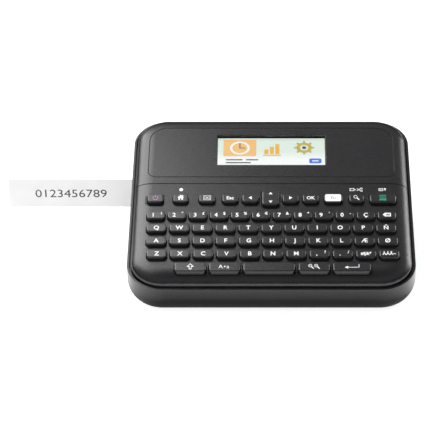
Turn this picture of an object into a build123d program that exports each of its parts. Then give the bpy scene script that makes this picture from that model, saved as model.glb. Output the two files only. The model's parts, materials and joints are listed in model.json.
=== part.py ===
from build123d import *
import os
from math import acos, asin, atan2, cos, degrees, hypot, pi, radians, sin, sqrt, tan

# Desktop label maker with a keyboard, a colour screen in a hinged lid and a tape cassette under it.
# Millimetres, +X to the right, +Y to the back, +Z up. The origin lies on the ground under the middle of the casing.
#
# Three frames are used. The world frame is the one above. The deck frame lies on the casing's sloping rim: x to the
# right, u up the slope from the front of the rim, n square to it. The bay frame carries the print mechanism: x to the
# right, v to the back from the tape line, w up along the tape's width.

# ---------------------------------------------------------------- casing
WIDTH = 201.0            # casing across
SLOPE_LENGTH = 178.5     # rim from front to back, along the slope
TILT = 18.0              # slope of the rim and the keyboard, degrees
RIM_FRONT_HEIGHT = 23.5  # ground to the rim at the front
FOOT_GAP = 1.5           # ground to the casing's bottom
CORNER_RADIUS = 25.5     # casing corners seen square to the rim
BOTTOM_RADIUS = 19.0     # rolled bottom edge
WALL = 2.4               # lower casing wall
ROOT = 0.3               # how deep ribs, posts and bosses sink into the wall that carries them
RIM_LIP = 1.6            # rim that stays visible round the upper casing
GROOVE_WIDTH = 1.1       # shadow groove between rim and upper casing
GROOVE_DEPTH = 3.0       # rim to the ledge that carries the upper casing
LEDGE_WIDTH = 2.0        # ledge beyond the wall
LEDGE_HEIGHT = 3.0
LEDGE_GAP_HALF = 92.5    # half of the ledge's gap behind the hinge
CROWN_HEIGHT = 7.0       # upper casing above the rim
ROLL_WIDTH = 12.5        # rolled edge of the upper casing
ROLL_HEIGHT = 6.3
COVER_WALL = 2.2         # wall of the deck and the lid
SEAM_U = 101.7           # seam between the deck and the lid
SEAM_GAP = 0.5
FIT = 0.3                # clearance round pieces that drop into a pocket
SLIDE_FIT = 0.5          # clearance round pieces that move in an opening

# ---------------------------------------------------------------- bay deck and lid
BAY_DECK_TOP = -2.9      # top of the plate under the lid
BAY_DECK_THICKNESS = 2.0
LID_SKIRT = 2.4          # lid walls below the rim's level
REAR_SKIRT = 0.4         # the same behind the hinge axis
HINGE_SETBACK = 9.5      # hinge axis in front of the rim's back edge
HINGE_X = 62.0           # middle of each knuckle
KNUCKLE_LENGTH = 10.0
KNUCKLE_RADIUS = 3.1
EAR_LENGTH = 4.0
EAR_RADIUS = 3.2
HINGE_GAP = 0.3          # between knuckle and ears, along the axis
PIN_RADIUS = 1.5
RUNNING_FIT = 0.06       # radial clearance of shafts and pins
TROUGH_DEPTH = 7.9       # floor of the trough behind the hinge, below the rim
TROUGH_FLOOR = 1.2

# ---------------------------------------------------------------- screen
PANEL_WIDTH = 178.0
PANEL_FRONT_U = 108.8
PANEL_BACK_U = 163.2
PANEL_FRONT_RADIUS = 6.5
PANEL_BACK_RADIUS = 14.0
PANEL_THICKNESS = 1.8
PANEL_GROOVE = 0.35
WINDOW_WIDTH = 79.2
WINDOW_FRONT_U = 122.0
WINDOW_BACK_U = 155.4
WINDOW_RADIUS = 0.8
LENS_MARGIN = 2.6        # lens beyond the window
LENS_THICKNESS = 1.8
LCD_MARGIN = 3.2         # module beyond the lens
LCD_THICKNESS = 3.4
LINER_THICKNESS = 0.8
BAY_PANEL_GAP = 0.5      # lid liner above the bay deck

# ---------------------------------------------------------------- keys
KEY_RISE = 2.5           # key top above the deck
KEY_RADIUS = 2.4
KEY_EDGE = 0.9           # rounded top edge
KEY_GAP = 0.5            # between key and deck
KEY_FLANGE = 1.0         # retaining flange beyond the opening
KEY_FLANGE_THICKNESS = 1.2
KEY_FLANGE_GAP = 0.4     # flange under the deck
KEY_TRAVEL = 1.2
ROW_PITCH = 13.2
FIRST_ROW_U = 13.3
ROW_DEPTH = 8.2
BOTTOM_ROW_DEPTH = 9.4
FUNCTION_ROW_U = 83.9
FUNCTION_DEPTH = 8.8
ROCKER_U = 84.3
ROCKER_DEPTH = 15.2
RING_MARGIN = 1.7        # recess round the power, rocker and print keys
RING_DEPTH = 0.5
DOME_RADIUS = 2.2
MAT_THICKNESS = 1.0
DOME_HEIGHT = 0.5
BOARD_THICKNESS = 1.6
MAT_WIDTH = 174.0
MAT_FRONT_U = 7.5
MAT_BACK_U = 92.5
MAT_RADIUS = 12.0
BOARD_WIDTH = 172.0
BOARD_FRONT_U = 7.0
BOARD_BACK_U = 98.0
BOARD_RADIUS = 14.0
POST_RADIUS = 2.6
SOLDER = 0.2             # how deep a part is set into its board
# parts on the underside of the keyboard's board: middle x, middle u, width, depth, height
KEYBOARD_PARTS = [(50, 84, 12, 12, 1.2), (20, 86, 20, 5, 2.4), (-30, 84, 8, 6, 1.0), (66, 70, 5, 8, 1.0),
                  (-62, 86, 5, 5, 1.0)]

# function row: name, middle x, width, depth
FUNCTION_KEYS = [
    ("key_power", -82.4, 11.4, FUNCTION_DEPTH),
    ("key_home", -64.4, 10.8, FUNCTION_DEPTH),
    ("key_layout", -45.6, 11.4, FUNCTION_DEPTH),
    ("key_escape", -29.3, 11.1, FUNCTION_DEPTH),
    ("key_left", -14.9, 11.5, FUNCTION_DEPTH),
    ("key_up_down", -0.5, 12.2, ROCKER_DEPTH),
    ("key_right", 13.7, 11.4, FUNCTION_DEPTH),
    ("key_ok", 28.0, 11.3, FUNCTION_DEPTH),
    ("key_function", 44.0, 13.1, FUNCTION_DEPTH),
    ("key_preview", 60.6, 10.3, FUNCTION_DEPTH),
    ("key_print", 79.3, 18.6, FUNCTION_DEPTH),
]
RINGED_KEYS = ("key_power", "key_up_down", "key_print")
# bottom row: name, middle x, width
BOTTOM_KEYS = [
    ("key_shift", -55.9, 21.8),
    ("key_caps", -32.2, 21.5),
    ("key_space", -1.6, 35.7),
    ("key_zoom", 29.5, 21.6),
    ("key_enter", 55.6, 26.1),
]
# the four rows between: name, row number counted from the bottom row, number of keys, middle x of the first and of
# the last key, width of one key
KEY_ROWS = [
    ("keys_letters_low", 1, 11, -79.5, 81.8, 13.8),
    ("keys_letters_middle", 2, 11, -80.3, 81.2, 14.0),
    ("keys_letters_high", 3, 11, -80.6, 80.5, 13.9),
    ("keys_numbers", 4, 12, -81.45, 81.45, 12.8),
]

# ---------------------------------------------------------------- tape path and print mechanism, bay frame
BAY_TILT = 10.0
TAPE_LINE_DEPTH = 121.0  # front of the rim to the tape line
BAY_FLOOR_HEIGHT = 29.2  # ground to the bay floor at the tape line
TAPE_WIDTH = 24.0
TAPE_THICKNESS = 0.3
TAPE_LOW = 2.5           # tape's lower edge above the bay floor
LABEL_OUTSIDE = 91.0     # printed label beyond the casing
TRAY_WALL = 1.6
TRAY_FRONT = -18.0       # inner faces of the tray, v
TRAY_BACK = 44.4
TRAY_LEFT = -94.0        # inner faces of the tray, x
TRAY_RIGHT = -2.0
TRAY_RADIUS = 10.0       # inner corners
CASSETTE_HEIGHT = 29.0
CASSETTE_WALL = 1.5
CASSETTE_RADIUS = 9.0
CASSETTE_FRONT = 0.8
CASSETTE_BACK = 44.0
CASSETTE_LEFT = -84.0
CASSETTE_RIGHT = -4.5
PLATEN_X = -62.0
PLATEN_RADIUS = 4.6
PLATEN_LENGTH = 22.2
PLATEN_LOW = 2.8         # roller's lower end above the bay floor
NIP_GAP = 0.05           # tape to roller and to head
SHAFT_RADIUS = 1.5
GEAR_MODULE = 0.8
PRESSURE_ANGLE = 20.0
ADDENDUM = 0.8           # of one module
DEDENDUM = 1.15          # of one module
BACKLASH = 0.22          # arc taken off each tooth
PINION_TEETH = 10
IDLER_A_TEETH = 40
IDLER_A_SMALL_TEETH = 12
IDLER_B_TEETH = 40
PLATEN_TEETH = 14
RIBBON_TEETH = 14
IDLER_B_ANGLE = 80.0     # direction from the platen to idler B
IDLER_A_ANGLE = -35.0    # from idler B to idler A
MOTOR_ANGLE = -42.0      # from idler A to the motor
RIBBON_ANGLE = 60.0      # from idler B to the ribbon spindle
GEAR_WIDTH = 2.4
GEAR_GAP = 0.6           # between tray, gear layers and chassis
CHASSIS_THICKNESS = 1.4
CHASSIS_EAR = 1.2        # thickness of its ears and of the cutter motor's flange
CHASSIS_GEAR_X = (-68.0, -16.0)
CHASSIS_CUTTER_X = (-93.5, -67.0)
CHASSIS_CUTTER_FRONT = -11.0
CHASSIS_BACK = 42.0
CHASSIS_POST_RADIUS = 3.5
FLANGE_GAP = 0.6         # ear to flange
FLANGE_BACK = -8.0
MOTOR_SHAFT_RADIUS = 1.0
MOTOR_RADIUS = 8.0
MOTOR_LENGTH = 24.0
HOLDER_PIVOT_X = -42.0
HOLDER_PIVOT_V = -9.5
HOLDER_OPEN = 8.0
HOLDER_LOW = 0.8         # holder's lower arm above the bay floor
HOLDER_ARM = 1.6
HOLDER_HEIGHT = 26.2
TAPE_ROLL_X = -21.5
TAPE_ROLL_V = 24.0
TAPE_ROLL_RADIUS = 15.2
TAPE_CORE_RADIUS = 8.0
RIBBON_ROLL_RADIUS = 6.2
SPINDLE_RADIUS = 3.0
HEAD_X = (-67.0, -57.0)  # thermal head, left and right
HEAD_THICKNESS = 1.8
HEAT_SINK_THICKNESS = 2.2
HEAT_SINK_FOOT = 6.0
CAVITY_X = (-73.0, -53.0)  # the cassette's cavity for the head
CAVITY_BACK = 12.5
GUIDE_WALL = 1.8
GUIDE_SLOT = 1.6         # slot that the label leaves through
GUIDE_LOW = 0.8
GUIDE_HIGH = 27.6
GUIDE_INNER_X = -91.5
GUIDE_FIT = 0.15

# ---------------------------------------------------------------- cutter, bay frame, axes along x
CUT_X = -89.2            # shear plane between the blades
BLADE_THICKNESS = 0.8
LEVER_THICKNESS = 2.0
LEVER_HUB_RADIUS = 4.0
LEVER_SLOT_BACK = 2.2    # back end of the chassis slot that the lever swings in
BLADE_GAP = 0.1          # between the blades
FIXED_BLADE = (0.6, 7.5)  # front and back edge of the fixed blade
FIXED_BLADE_THICKNESS = 1.0
LEVER_PIVOT_V = -7.0
LEVER_PIVOT_W = -11.5
SECTOR_TEETH = 22        # teeth of the whole wheel that the sector is cut from
SECTOR_SPAN = 76.0       # degrees of it that are left
CUTTER_MOTOR_RADIUS = 6.0
CUTTER_MOTOR_LENGTH = 16.0

# ---------------------------------------------------------------- electronics, battery, feet, screws, world frame
CELL_RADIUS = 7.1
CELL_LENGTH = 50.5
CELL_COUNT = 6
CELL_PITCH = 14.8
CELL_ROOF_GAP = 0.3
NUB_LENGTH = 1.2
NUB_RADIUS = 2.6
CONTACT_THICKNESS = 0.4
CONTACT_HALF = (5.0, 5.5)   # half of a contact plate's width and height
COIL_RADIUS = 3.0
COIL_TURNS = 4
COIL_WIRE_RADIUS = 0.35
BATTERY_FRONT_DEPTH = 21.0  # front of the rim to the battery box's inner front face
BATTERY_BOX_LENGTH = 58.0
BATTERY_BOX_HEIGHT = 18.7   # ground to the underside of its roof
BOX_WALL = 1.6
COVER_PLATE = 2.0
COVER_PIN_RADIUS = 0.7
COVER_PIN_LENGTH = 1.2      # beyond the cover's sides
GRIP_COUNT = 5              # finger grooves at the cover's back edge
GRIP_PITCH = 1.8
GRIP_HALF = 9.0
GRIP_DEPTH = 12.0           # first groove in front of the back edge
FOOT_RADIUS = 6.0
FOOT_THICKNESS = 2.1
FOOT_FIT = 0.1
FOOT_X = 74.0
FOOT_FRONT_DEPTH = 28.0
FOOT_BACK_DEPTH = 162.0
SCREW_RADIUS = 1.5
SCREW_FIT = 0.2             # clearance of a screw in a lower boss
THREAD_FIT = 0.05           # clearance of a screw in an upper boss
SCREW_HEAD_RADIUS = 2.9
SCREW_HEAD = 2.0
SCREW_LENGTH = 16.0
SCREW_SEAT = 10.0           # ground to the heads' seats, deep in the lower bosses
SLOT_LENGTH = 1.8           # half of one slot of the cross in the head
SLOT_WIDTH = 0.4            # half of its width
BOSS_RADIUS = 4.0
BOSS_SPLIT = 14.0           # ground to the joint between lower and upper boss
SCREWS = [(-91.8, 45.0), (91.8, 45.0), (-91.8, 88.0), (91.8, 88.0), (4.2, 158.0), (91.8, 147.6)]  # x, depth
MAIN_BOARD = (8.7, 87.2, 106.0, 166.0)  # left, right, front depth, back depth
MAIN_BOARD_HEIGHT = 20.0
BOARD_POST_INSET = 4.5
BOARD_POST_RADIUS = 3.0
# parts on the main board: middle x, middle depth, width, length, height
MAIN_BOARD_PARTS = [(30, 125, 14, 14, 1.4), (55, 120, 10, 7, 1.2), (24, 150, 20, 6, 5.0), (60, 152, 12, 10, 3.0),
                    (46, 158, 5, 5, 8.0), (72, 158, 8, 8, 9.0), (75, 112, 12, 4, 4.0)]
BOARD_TAB = (96.0, 114.0, 143.2)  # right edge, front depth, back depth of the tab that carries the ports
USB_DEPTH = 122.0
USB_WIDTH = 7.7
USB_HEIGHT = 3.9
USB_LENGTH = 9.0
JACK_DEPTH = 138.0
JACK_WIDTH = 9.0
JACK_HEIGHT = 11.0
JACK_LENGTH = 14.0
JACK_BORE_RADIUS = 2.75
JACK_PIN_RADIUS = 1.0

# ================================================================ derived values
RIM_BACK_HEIGHT = RIM_FRONT_HEIGHT + SLOPE_LENGTH * sin(radians(TILT))
BACK_FOOT = (RIM_BACK_HEIGHT - FOOT_GAP - BOTTOM_RADIUS) * tan(radians(TILT))
DEPTH = SLOPE_LENGTH * cos(radians(TILT)) + BACK_FOOT - BOTTOM_RADIUS * (1 / cos(radians(TILT)) - 1)
FRONT_Y = -DEPTH / 2
DECK = Location((0, FRONT_Y, RIM_FRONT_HEIGHT), (TILT, 0, 0))
BAY = Location((0, FRONT_Y + TAPE_LINE_DEPTH, BAY_FLOOR_HEIGHT), (BAY_TILT, 0, 0))

CROWN_INSET = RIM_LIP + GROOVE_WIDTH
INNER_TOP = CROWN_HEIGHT - COVER_WALL
SEAM_FRONT = SEAM_U - SEAM_GAP / 2
SEAM_BACK = SEAM_U + SEAM_GAP / 2
BAY_DECK_BOTTOM = BAY_DECK_TOP - BAY_DECK_THICKNESS
HINGE_U = SLOPE_LENGTH - HINGE_SETBACK
TROUGH_WALL = 1.4
LID_SWEEP_GAP = 0.2
PANEL_SEAT = CROWN_HEIGHT - PANEL_THICKNESS
LCD_SEAT = PANEL_SEAT - LENS_THICKNESS
LINER_LOW = BAY_DECK_TOP + BAY_PANEL_GAP
WINDOW_MIDDLE_U = (WINDOW_FRONT_U + WINDOW_BACK_U) / 2
WINDOW_DEPTH = WINDOW_BACK_U - WINDOW_FRONT_U

KEY_TOP = CROWN_HEIGHT + KEY_RISE
KEY_BOTTOM = INNER_TOP - KEY_FLANGE_GAP - KEY_FLANGE_THICKNESS
DOME_TOP = KEY_BOTTOM - KEY_TRAVEL - 0.1
MAT_TOP = DOME_TOP - DOME_HEIGHT
BOARD_TOP = MAT_TOP - MAT_THICKNESS

GEAR_TOP = -TRAY_WALL - GEAR_GAP                 # upper gear layer
LOWER_GEAR_TOP = GEAR_TOP - GEAR_WIDTH - 0.4     # lower gear layer
CHASSIS_TOP = LOWER_GEAR_TOP - GEAR_WIDTH - 0.4
CHASSIS_BOTTOM = CHASSIS_TOP - CHASSIS_THICKNESS
LEVER_PINION_GAP = GEAR_MODULE * (SECTOR_TEETH + PINION_TEETH) / 2
BOX_HALF = CELL_COUNT * CELL_PITCH / 2 + 0.4


def pitch_radius(teeth):
    """Pitch radius of a gear."""
    return GEAR_MODULE * teeth / 2


def step(place, distance, heading):
    """The place that lies a distance away along a heading in degrees."""
    return (place[0] + distance * cos(radians(heading)), place[1] + distance * sin(radians(heading)))


PLATEN = (PLATEN_X, -(TAPE_THICKNESS / 2 + NIP_GAP + PLATEN_RADIUS))
IDLER_B = step(PLATEN, pitch_radius(PLATEN_TEETH + IDLER_B_TEETH), IDLER_B_ANGLE)
IDLER_A = step(IDLER_B, pitch_radius(IDLER_B_TEETH + IDLER_A_SMALL_TEETH), IDLER_A_ANGLE)
MOTOR = step(IDLER_A, pitch_radius(IDLER_A_TEETH + PINION_TEETH), MOTOR_ANGLE)
RIBBON = step(IDLER_B, pitch_radius(IDLER_B_TEETH + RIBBON_TEETH), RIBBON_ANGLE)
HOLDER_PIVOT = (HOLDER_PIVOT_X, HOLDER_PIVOT_V)
TAPE_ROLL = (TAPE_ROLL_X, TAPE_ROLL_V)


# ================================================================ helpers
def block(x0, x1, y0, y1, z0, z1):
    """Box between two corners."""
    return Pos((x0 + x1) / 2, (y0 + y1) / 2, (z0 + z1) / 2) * Box(x1 - x0, y1 - y0, z1 - z0)


def rod(place, radius, z0, z1):
    """Upright cylinder between two heights."""
    return Pos(place[0], place[1], (z0 + z1) / 2) * Cylinder(radius, z1 - z0)


def cross_rod(place, radius, x0, x1):
    """Cylinder along x between two faces, at a place (y, z)."""
    return Pos((x0 + x1) / 2, place[0], place[1]) * Rot(0, 90, 0) * Cylinder(radius, x1 - x0)


def rounded_plate(x, y, width, depth, radius, z0, z1):
    """Upright prism of a rounded rectangle."""
    return extrude(Pos(x, y, z0) * RectangleRounded(width, depth, radius), z1 - z0)


def rim_prism(inset, bottom, top):
    """Prism of the rim's outline, drawn in by an inset, in the deck frame."""
    return rounded_plate(0, SLOPE_LENGTH / 2, WIDTH - 2 * inset, SLOPE_LENGTH - 2 * inset,
                         CORNER_RADIUS - inset, bottom, top)


def roll_profile(plane, bottom, top, roll_width, roll_height):
    """Section of the rolled edge: an upright wall that turns over in a quarter of an ellipse."""
    shoulder = top - roll_height
    edges = [
        Line((0, bottom), (0, shoulder)),
        EllipticalCenterArc((roll_width, shoulder), roll_width, roll_height, 90, arc_size=90),
        Line((roll_width, top), (roll_width, bottom)),
        Line((roll_width, bottom), (0, bottom)),
    ]
    return plane * make_face(Curve() + edges)


def crown(inset, bottom, top, roll_width, roll_height):
    """Solid of the rim's outline with a rolled upper edge, in the deck frame."""
    half_width = WIDTH / 2 - inset
    radius = CORNER_RADIUS - inset
    straight_x = half_width - radius
    front = Plane(origin=(0, inset, 0), x_dir=(0, 1, 0), z_dir=(1, 0, 0))
    corner = Plane(origin=(straight_x, inset, 0), x_dir=(0, 1, 0), z_dir=(1, 0, 0))
    side = Plane(origin=(half_width, inset + radius, 0), x_dir=(-1, 0, 0), z_dir=(0, 1, 0))
    shape = (bottom, top, roll_width, roll_height)
    turn = Axis((straight_x, inset + radius, 0), (0, 0, 1))
    quarter = extrude(roll_profile(front, *shape), straight_x)
    quarter += revolve(roll_profile(corner, *shape), turn, 90)
    quarter += extrude(roll_profile(side, *shape), SLOPE_LENGTH / 2 - inset - radius)
    core = rounded_plate(0, SLOPE_LENGTH / 2, WIDTH - 2 * (inset + roll_width),
                         SLOPE_LENGTH - 2 * (inset + roll_width), radius - roll_width, bottom, top)
    core &= block(0, WIDTH, 0, SLOPE_LENGTH / 2, bottom - 1, top + 1)
    quarter += core
    half = quarter + mirror(quarter, about=Plane.YZ)
    middle = Plane(origin=(0, SLOPE_LENGTH / 2, 0), z_dir=(0, 1, 0))
    return half + mirror(half, about=middle)


def outer_crown(bottom):
    """Outer form of the deck and the lid, in the deck frame."""
    return crown(CROWN_INSET, bottom, CROWN_HEIGHT, ROLL_WIDTH, ROLL_HEIGHT)


def inner_crown(bottom):
    """Inner form of the deck and the lid, one wall inside the outer form."""
    return crown(CROWN_INSET + COVER_WALL, bottom, INNER_TOP, ROLL_WIDTH - COVER_WALL, ROLL_HEIGHT - COVER_WALL)


def casing_body(inset):
    """Solid of the lower casing with its rolled bottom edge, drawn in by an inset, in the world frame."""
    reach = RIM_BACK_HEIGHT / cos(radians(TILT)) + SLOPE_LENGTH * tan(radians(TILT))
    body = DECK * rim_prism(inset, -reach, 0)
    body &= block(-WIDTH, WIDTH, -DEPTH, DEPTH, FOOT_GAP + inset, 2 * RIM_BACK_HEIGHT)
    return fillet(body.edges().group_by(Axis.Z)[0], BOTTOM_RADIUS - inset)


def panel_outline(shrink):
    """Outline of the screen panel, in the deck frame."""
    plate = Pos(0, (PANEL_FRONT_U + PANEL_BACK_U) / 2) * Rectangle(
        PANEL_WIDTH - 2 * shrink, PANEL_BACK_U - PANEL_FRONT_U - 2 * shrink)
    plate = fillet(plate.vertices().group_by(Axis.Y)[0], PANEL_FRONT_RADIUS - shrink)
    return fillet(plate.vertices().group_by(Axis.Y)[-1], PANEL_BACK_RADIUS - shrink)


def involute(angle):
    """Involute function of an angle in radians."""
    return tan(angle) - angle


def gear_face(teeth, phase):
    """Face of a spur gear about the origin, one tooth pointing in the phase direction, in degrees."""
    pitch = pitch_radius(teeth)
    base = pitch * cos(radians(PRESSURE_ANGLE))
    root = pitch - DEDENDUM * GEAR_MODULE
    tip = pitch + ADDENDUM * GEAR_MODULE
    half_tooth = pi / (2 * teeth) - BACKLASH / (2 * pitch) + involute(radians(PRESSURE_ANGLE))
    start = max(root, base)
    flank = [start + (tip - start) * k / 3 for k in range(4)]
    if root < base:
        flank.insert(0, root)
    points = []
    for tooth in range(teeth):
        middle = radians(phase) + 2 * pi * tooth / teeth
        half = [half_tooth - involute(acos(min(1.0, base / max(r, base)))) for r in flank]
        points += [(r * cos(middle - a), r * sin(middle - a)) for r, a in zip(flank, half)]
        points += [(r * cos(middle + a), r * sin(middle + a)) for r, a in zip(flank[::-1], half[::-1])]
    return make_face(Polyline(*points, close=True))


def gear(place, teeth, phase, z0, z1):
    """Solid spur gear at a place."""
    return Pos(place[0], place[1], z0) * extrude(gear_face(teeth, phase), z1 - z0)


def mesh_phase(teeth, phase, next_teeth, heading):
    """Phase of the next gear, whose centre lies along a heading, so that its gaps take this gear's teeth."""
    offset = (phase - heading) % (360 / teeth)
    return heading + 180 - offset * teeth / next_teeth + 180 / next_teeth


def direction(a, b):
    """Direction from one place to another, degrees."""
    return degrees(atan2(b[1] - a[1], b[0] - a[0]))


PLATEN_PHASE = 0.0
IDLER_B_PHASE = mesh_phase(PLATEN_TEETH, PLATEN_PHASE, IDLER_B_TEETH, direction(PLATEN, IDLER_B))
IDLER_A_PHASE = mesh_phase(IDLER_B_TEETH, IDLER_B_PHASE, IDLER_A_SMALL_TEETH, direction(IDLER_B, IDLER_A))
RIBBON_PHASE = mesh_phase(IDLER_B_TEETH, IDLER_B_PHASE, RIBBON_TEETH, direction(IDLER_B, RIBBON))
MOTOR_PHASE = mesh_phase(IDLER_A_TEETH, 0.0, PINION_TEETH, direction(IDLER_A, MOTOR))
SECTOR_PHASE = 180.0
LEVER_PIVOT = (LEVER_PIVOT_V, LEVER_PIVOT_W)
CUTTER_MOTOR = (LEVER_PIVOT_V - LEVER_PINION_GAP, LEVER_PIVOT_W)
CUTTER_PHASE = mesh_phase(SECTOR_TEETH, SECTOR_PHASE, PINION_TEETH, 180.0)
LEVER_X = (CUT_X - LEVER_THICKNESS, CUT_X)
EAR_GAP = 0.2
BATTERY_FRONT_Y = FRONT_Y + BATTERY_FRONT_DEPTH
BATTERY_BACK_Y = BATTERY_FRONT_Y + BATTERY_BOX_LENGTH
COVER_AXIS = (BATTERY_FRONT_Y + FIT + COVER_PLATE / 2, FOOT_GAP + COVER_PLATE / 2)
CELL_HEIGHT = BATTERY_BOX_HEIGHT - CELL_ROOF_GAP - CELL_RADIUS
CELL_MIDDLE = (BATTERY_FRONT_Y + BATTERY_BACK_Y) / 2
CELL_SHIFT = BATTERY_BOX_LENGTH / 2 - CONTACT_THICKNESS - CELL_LENGTH / 2
CHASSIS_POSTS = [(-64.0, -14.0), (-22.0, -14.0), (-22.0, 36.0), (-72.0, 38.0), (-83.0, 16.0)]
BOARD_POSTS = [(-82.0, FIRST_ROW_U), (82.0, FIRST_ROW_U), (-60.0, 95.0), (60.0, 95.0)]


# ================================================================ casing
def exit_pocket(margin):
    """Prism round the exit guide, in the world frame."""
    half = GUIDE_SLOT / 2 + GUIDE_WALL + margin
    return BAY * block(-WIDTH / 2 - 1, TRAY_LEFT + 1, -half, half, GUIDE_LOW - margin, GUIDE_HIGH + margin)


def tray_prism(wall, bottom, top):
    """Prism of the tray's inner outline, widened by a wall, in the bay frame."""
    return rounded_plate((TRAY_LEFT + TRAY_RIGHT) / 2, (TRAY_FRONT + TRAY_BACK) / 2,
                         TRAY_RIGHT - TRAY_LEFT + 2 * wall, TRAY_BACK - TRAY_FRONT + 2 * wall,
                         TRAY_RADIUS + wall, bottom, top)


def base_shell():
    """Lower casing: a dish with a rim lip, ledge, battery box, bosses, posts and side openings."""
    shell = casing_body(0) - casing_body(WALL)
    shell -= DECK * rim_prism(RIM_LIP, -GROOVE_DEPTH, 1)
    ledge = rim_prism(WALL / 2, -GROOVE_DEPTH - LEDGE_HEIGHT, -GROOVE_DEPTH)
    ledge -= rim_prism(WALL + LEDGE_WIDTH, -GROOVE_DEPTH - LEDGE_HEIGHT - 1, 0)
    ledge -= block(-LEDGE_GAP_HALF, LEDGE_GAP_HALF, HINGE_U - 3, SLOPE_LENGTH + 1, -GROOVE_DEPTH - LEDGE_HEIGHT - 1, 0)
    shell += DECK * ledge
    root = FOOT_GAP + WALL - ROOT
    within_wall = casing_body(ROOT)
    shell += block(-BOX_HALF - BOX_WALL, BOX_HALF + BOX_WALL, BATTERY_FRONT_Y - BOX_WALL,
                   BATTERY_BACK_Y + BOX_WALL, root, BATTERY_BOX_HEIGHT + BOX_WALL)
    shell -= block(-BOX_HALF, BOX_HALF, BATTERY_FRONT_Y, BATTERY_BACK_Y, 0, BATTERY_BOX_HEIGHT)
    pin_hole = BOX_HALF - FIT + COVER_PIN_LENGTH + 0.2
    shell -= cross_rod(COVER_AXIS, COVER_PIN_RADIUS + RUNNING_FIT, -pin_hole, pin_hole)
    for x, depth in SCREWS:
        shell += rod((x, FRONT_Y + depth), BOSS_RADIUS, root, BOSS_SPLIT) & within_wall
    for x, depth in SCREWS:
        shell -= rod((x, FRONT_Y + depth), SCREW_RADIUS + SCREW_FIT, 0, BOSS_SPLIT + 1)
        shell -= rod((x, FRONT_Y + depth), SCREW_HEAD_RADIUS + FIT, 0, SCREW_SEAT)
    under_chassis = BAY * block(-WIDTH, WIDTH, -DEPTH, DEPTH, -2 * BAY_FLOOR_HEIGHT, CHASSIS_BOTTOM)
    for x, v in CHASSIS_POSTS:
        top = (BAY * Pos(x, v, CHASSIS_BOTTOM)).position
        shell += rod((top.X, top.Y), CHASSIS_POST_RADIUS, root, top.Z + 2) & under_chassis
    left, right, front, back = MAIN_BOARD
    for x in (left + BOARD_POST_INSET, right - BOARD_POST_INSET):
        for depth in (front + BOARD_POST_INSET, back - BOARD_POST_INSET):
            shell += rod((x, FRONT_Y + depth), BOARD_POST_RADIUS, root, MAIN_BOARD_HEIGHT)
    for x in (-FOOT_X, FOOT_X):
        for depth in (FOOT_FRONT_DEPTH, FOOT_BACK_DEPTH):
            shell -= rod((x, FRONT_Y + depth), FOOT_RADIUS + FOOT_FIT, 0, FOOT_THICKNESS)
    shell -= exit_pocket(GUIDE_FIT)
    port_low = MAIN_BOARD_HEIGHT + BOARD_THICKNESS
    usb, jack = FRONT_Y + USB_DEPTH, FRONT_Y + JACK_DEPTH
    shell -= block(WIDTH / 2 - WALL - 1, WIDTH / 2 + 1, usb - USB_WIDTH / 2 - FIT, usb + USB_WIDTH / 2 + FIT,
                   port_low - FIT, port_low + USB_HEIGHT + FIT)
    shell -= cross_rod((jack, port_low + JACK_HEIGHT / 2), JACK_WIDTH / 2 + FIT, WIDTH / 2 - WALL - 1, WIDTH / 2 + 1)
    return shell


def key_list():
    """Every key as (node, x, u, width, depth)."""
    keys = [(name, x, ROCKER_U if name == "key_up_down" else FUNCTION_ROW_U, width, depth)
            for name, x, width, depth in FUNCTION_KEYS]
    keys += [(name, x, FIRST_ROW_U, width, BOTTOM_ROW_DEPTH) for name, x, width in BOTTOM_KEYS]
    for name, row, count, first, last, width in KEY_ROWS:
        for k in range(count):
            x = first + (last - first) * k / (count - 1)
            keys.append((name, x, FIRST_ROW_U + row * ROW_PITCH, width, ROW_DEPTH))
    return keys


def one_key(x, u, width, depth):
    """One key cap with its retaining flange, in the deck frame."""
    cap = rounded_plate(x, u, width, depth, KEY_RADIUS, KEY_BOTTOM, KEY_TOP)
    cap = fillet(cap.edges().group_by(Axis.Z)[-1], KEY_EDGE)
    back = u + depth / 2 + KEY_GAP + KEY_FLANGE
    front = u - depth / 2 if u == FIRST_ROW_U else u - depth / 2 - KEY_GAP - KEY_FLANGE
    half = width / 2 - KEY_RADIUS
    return cap + block(x - half, x + half, front, back, KEY_BOTTOM, KEY_BOTTOM + KEY_FLANGE_THICKNESS)


def key_node(name):
    """All key caps of one node."""
    return DECK * Compound([one_key(*key[1:]) for key in key_list() if key[0] == name])


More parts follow.
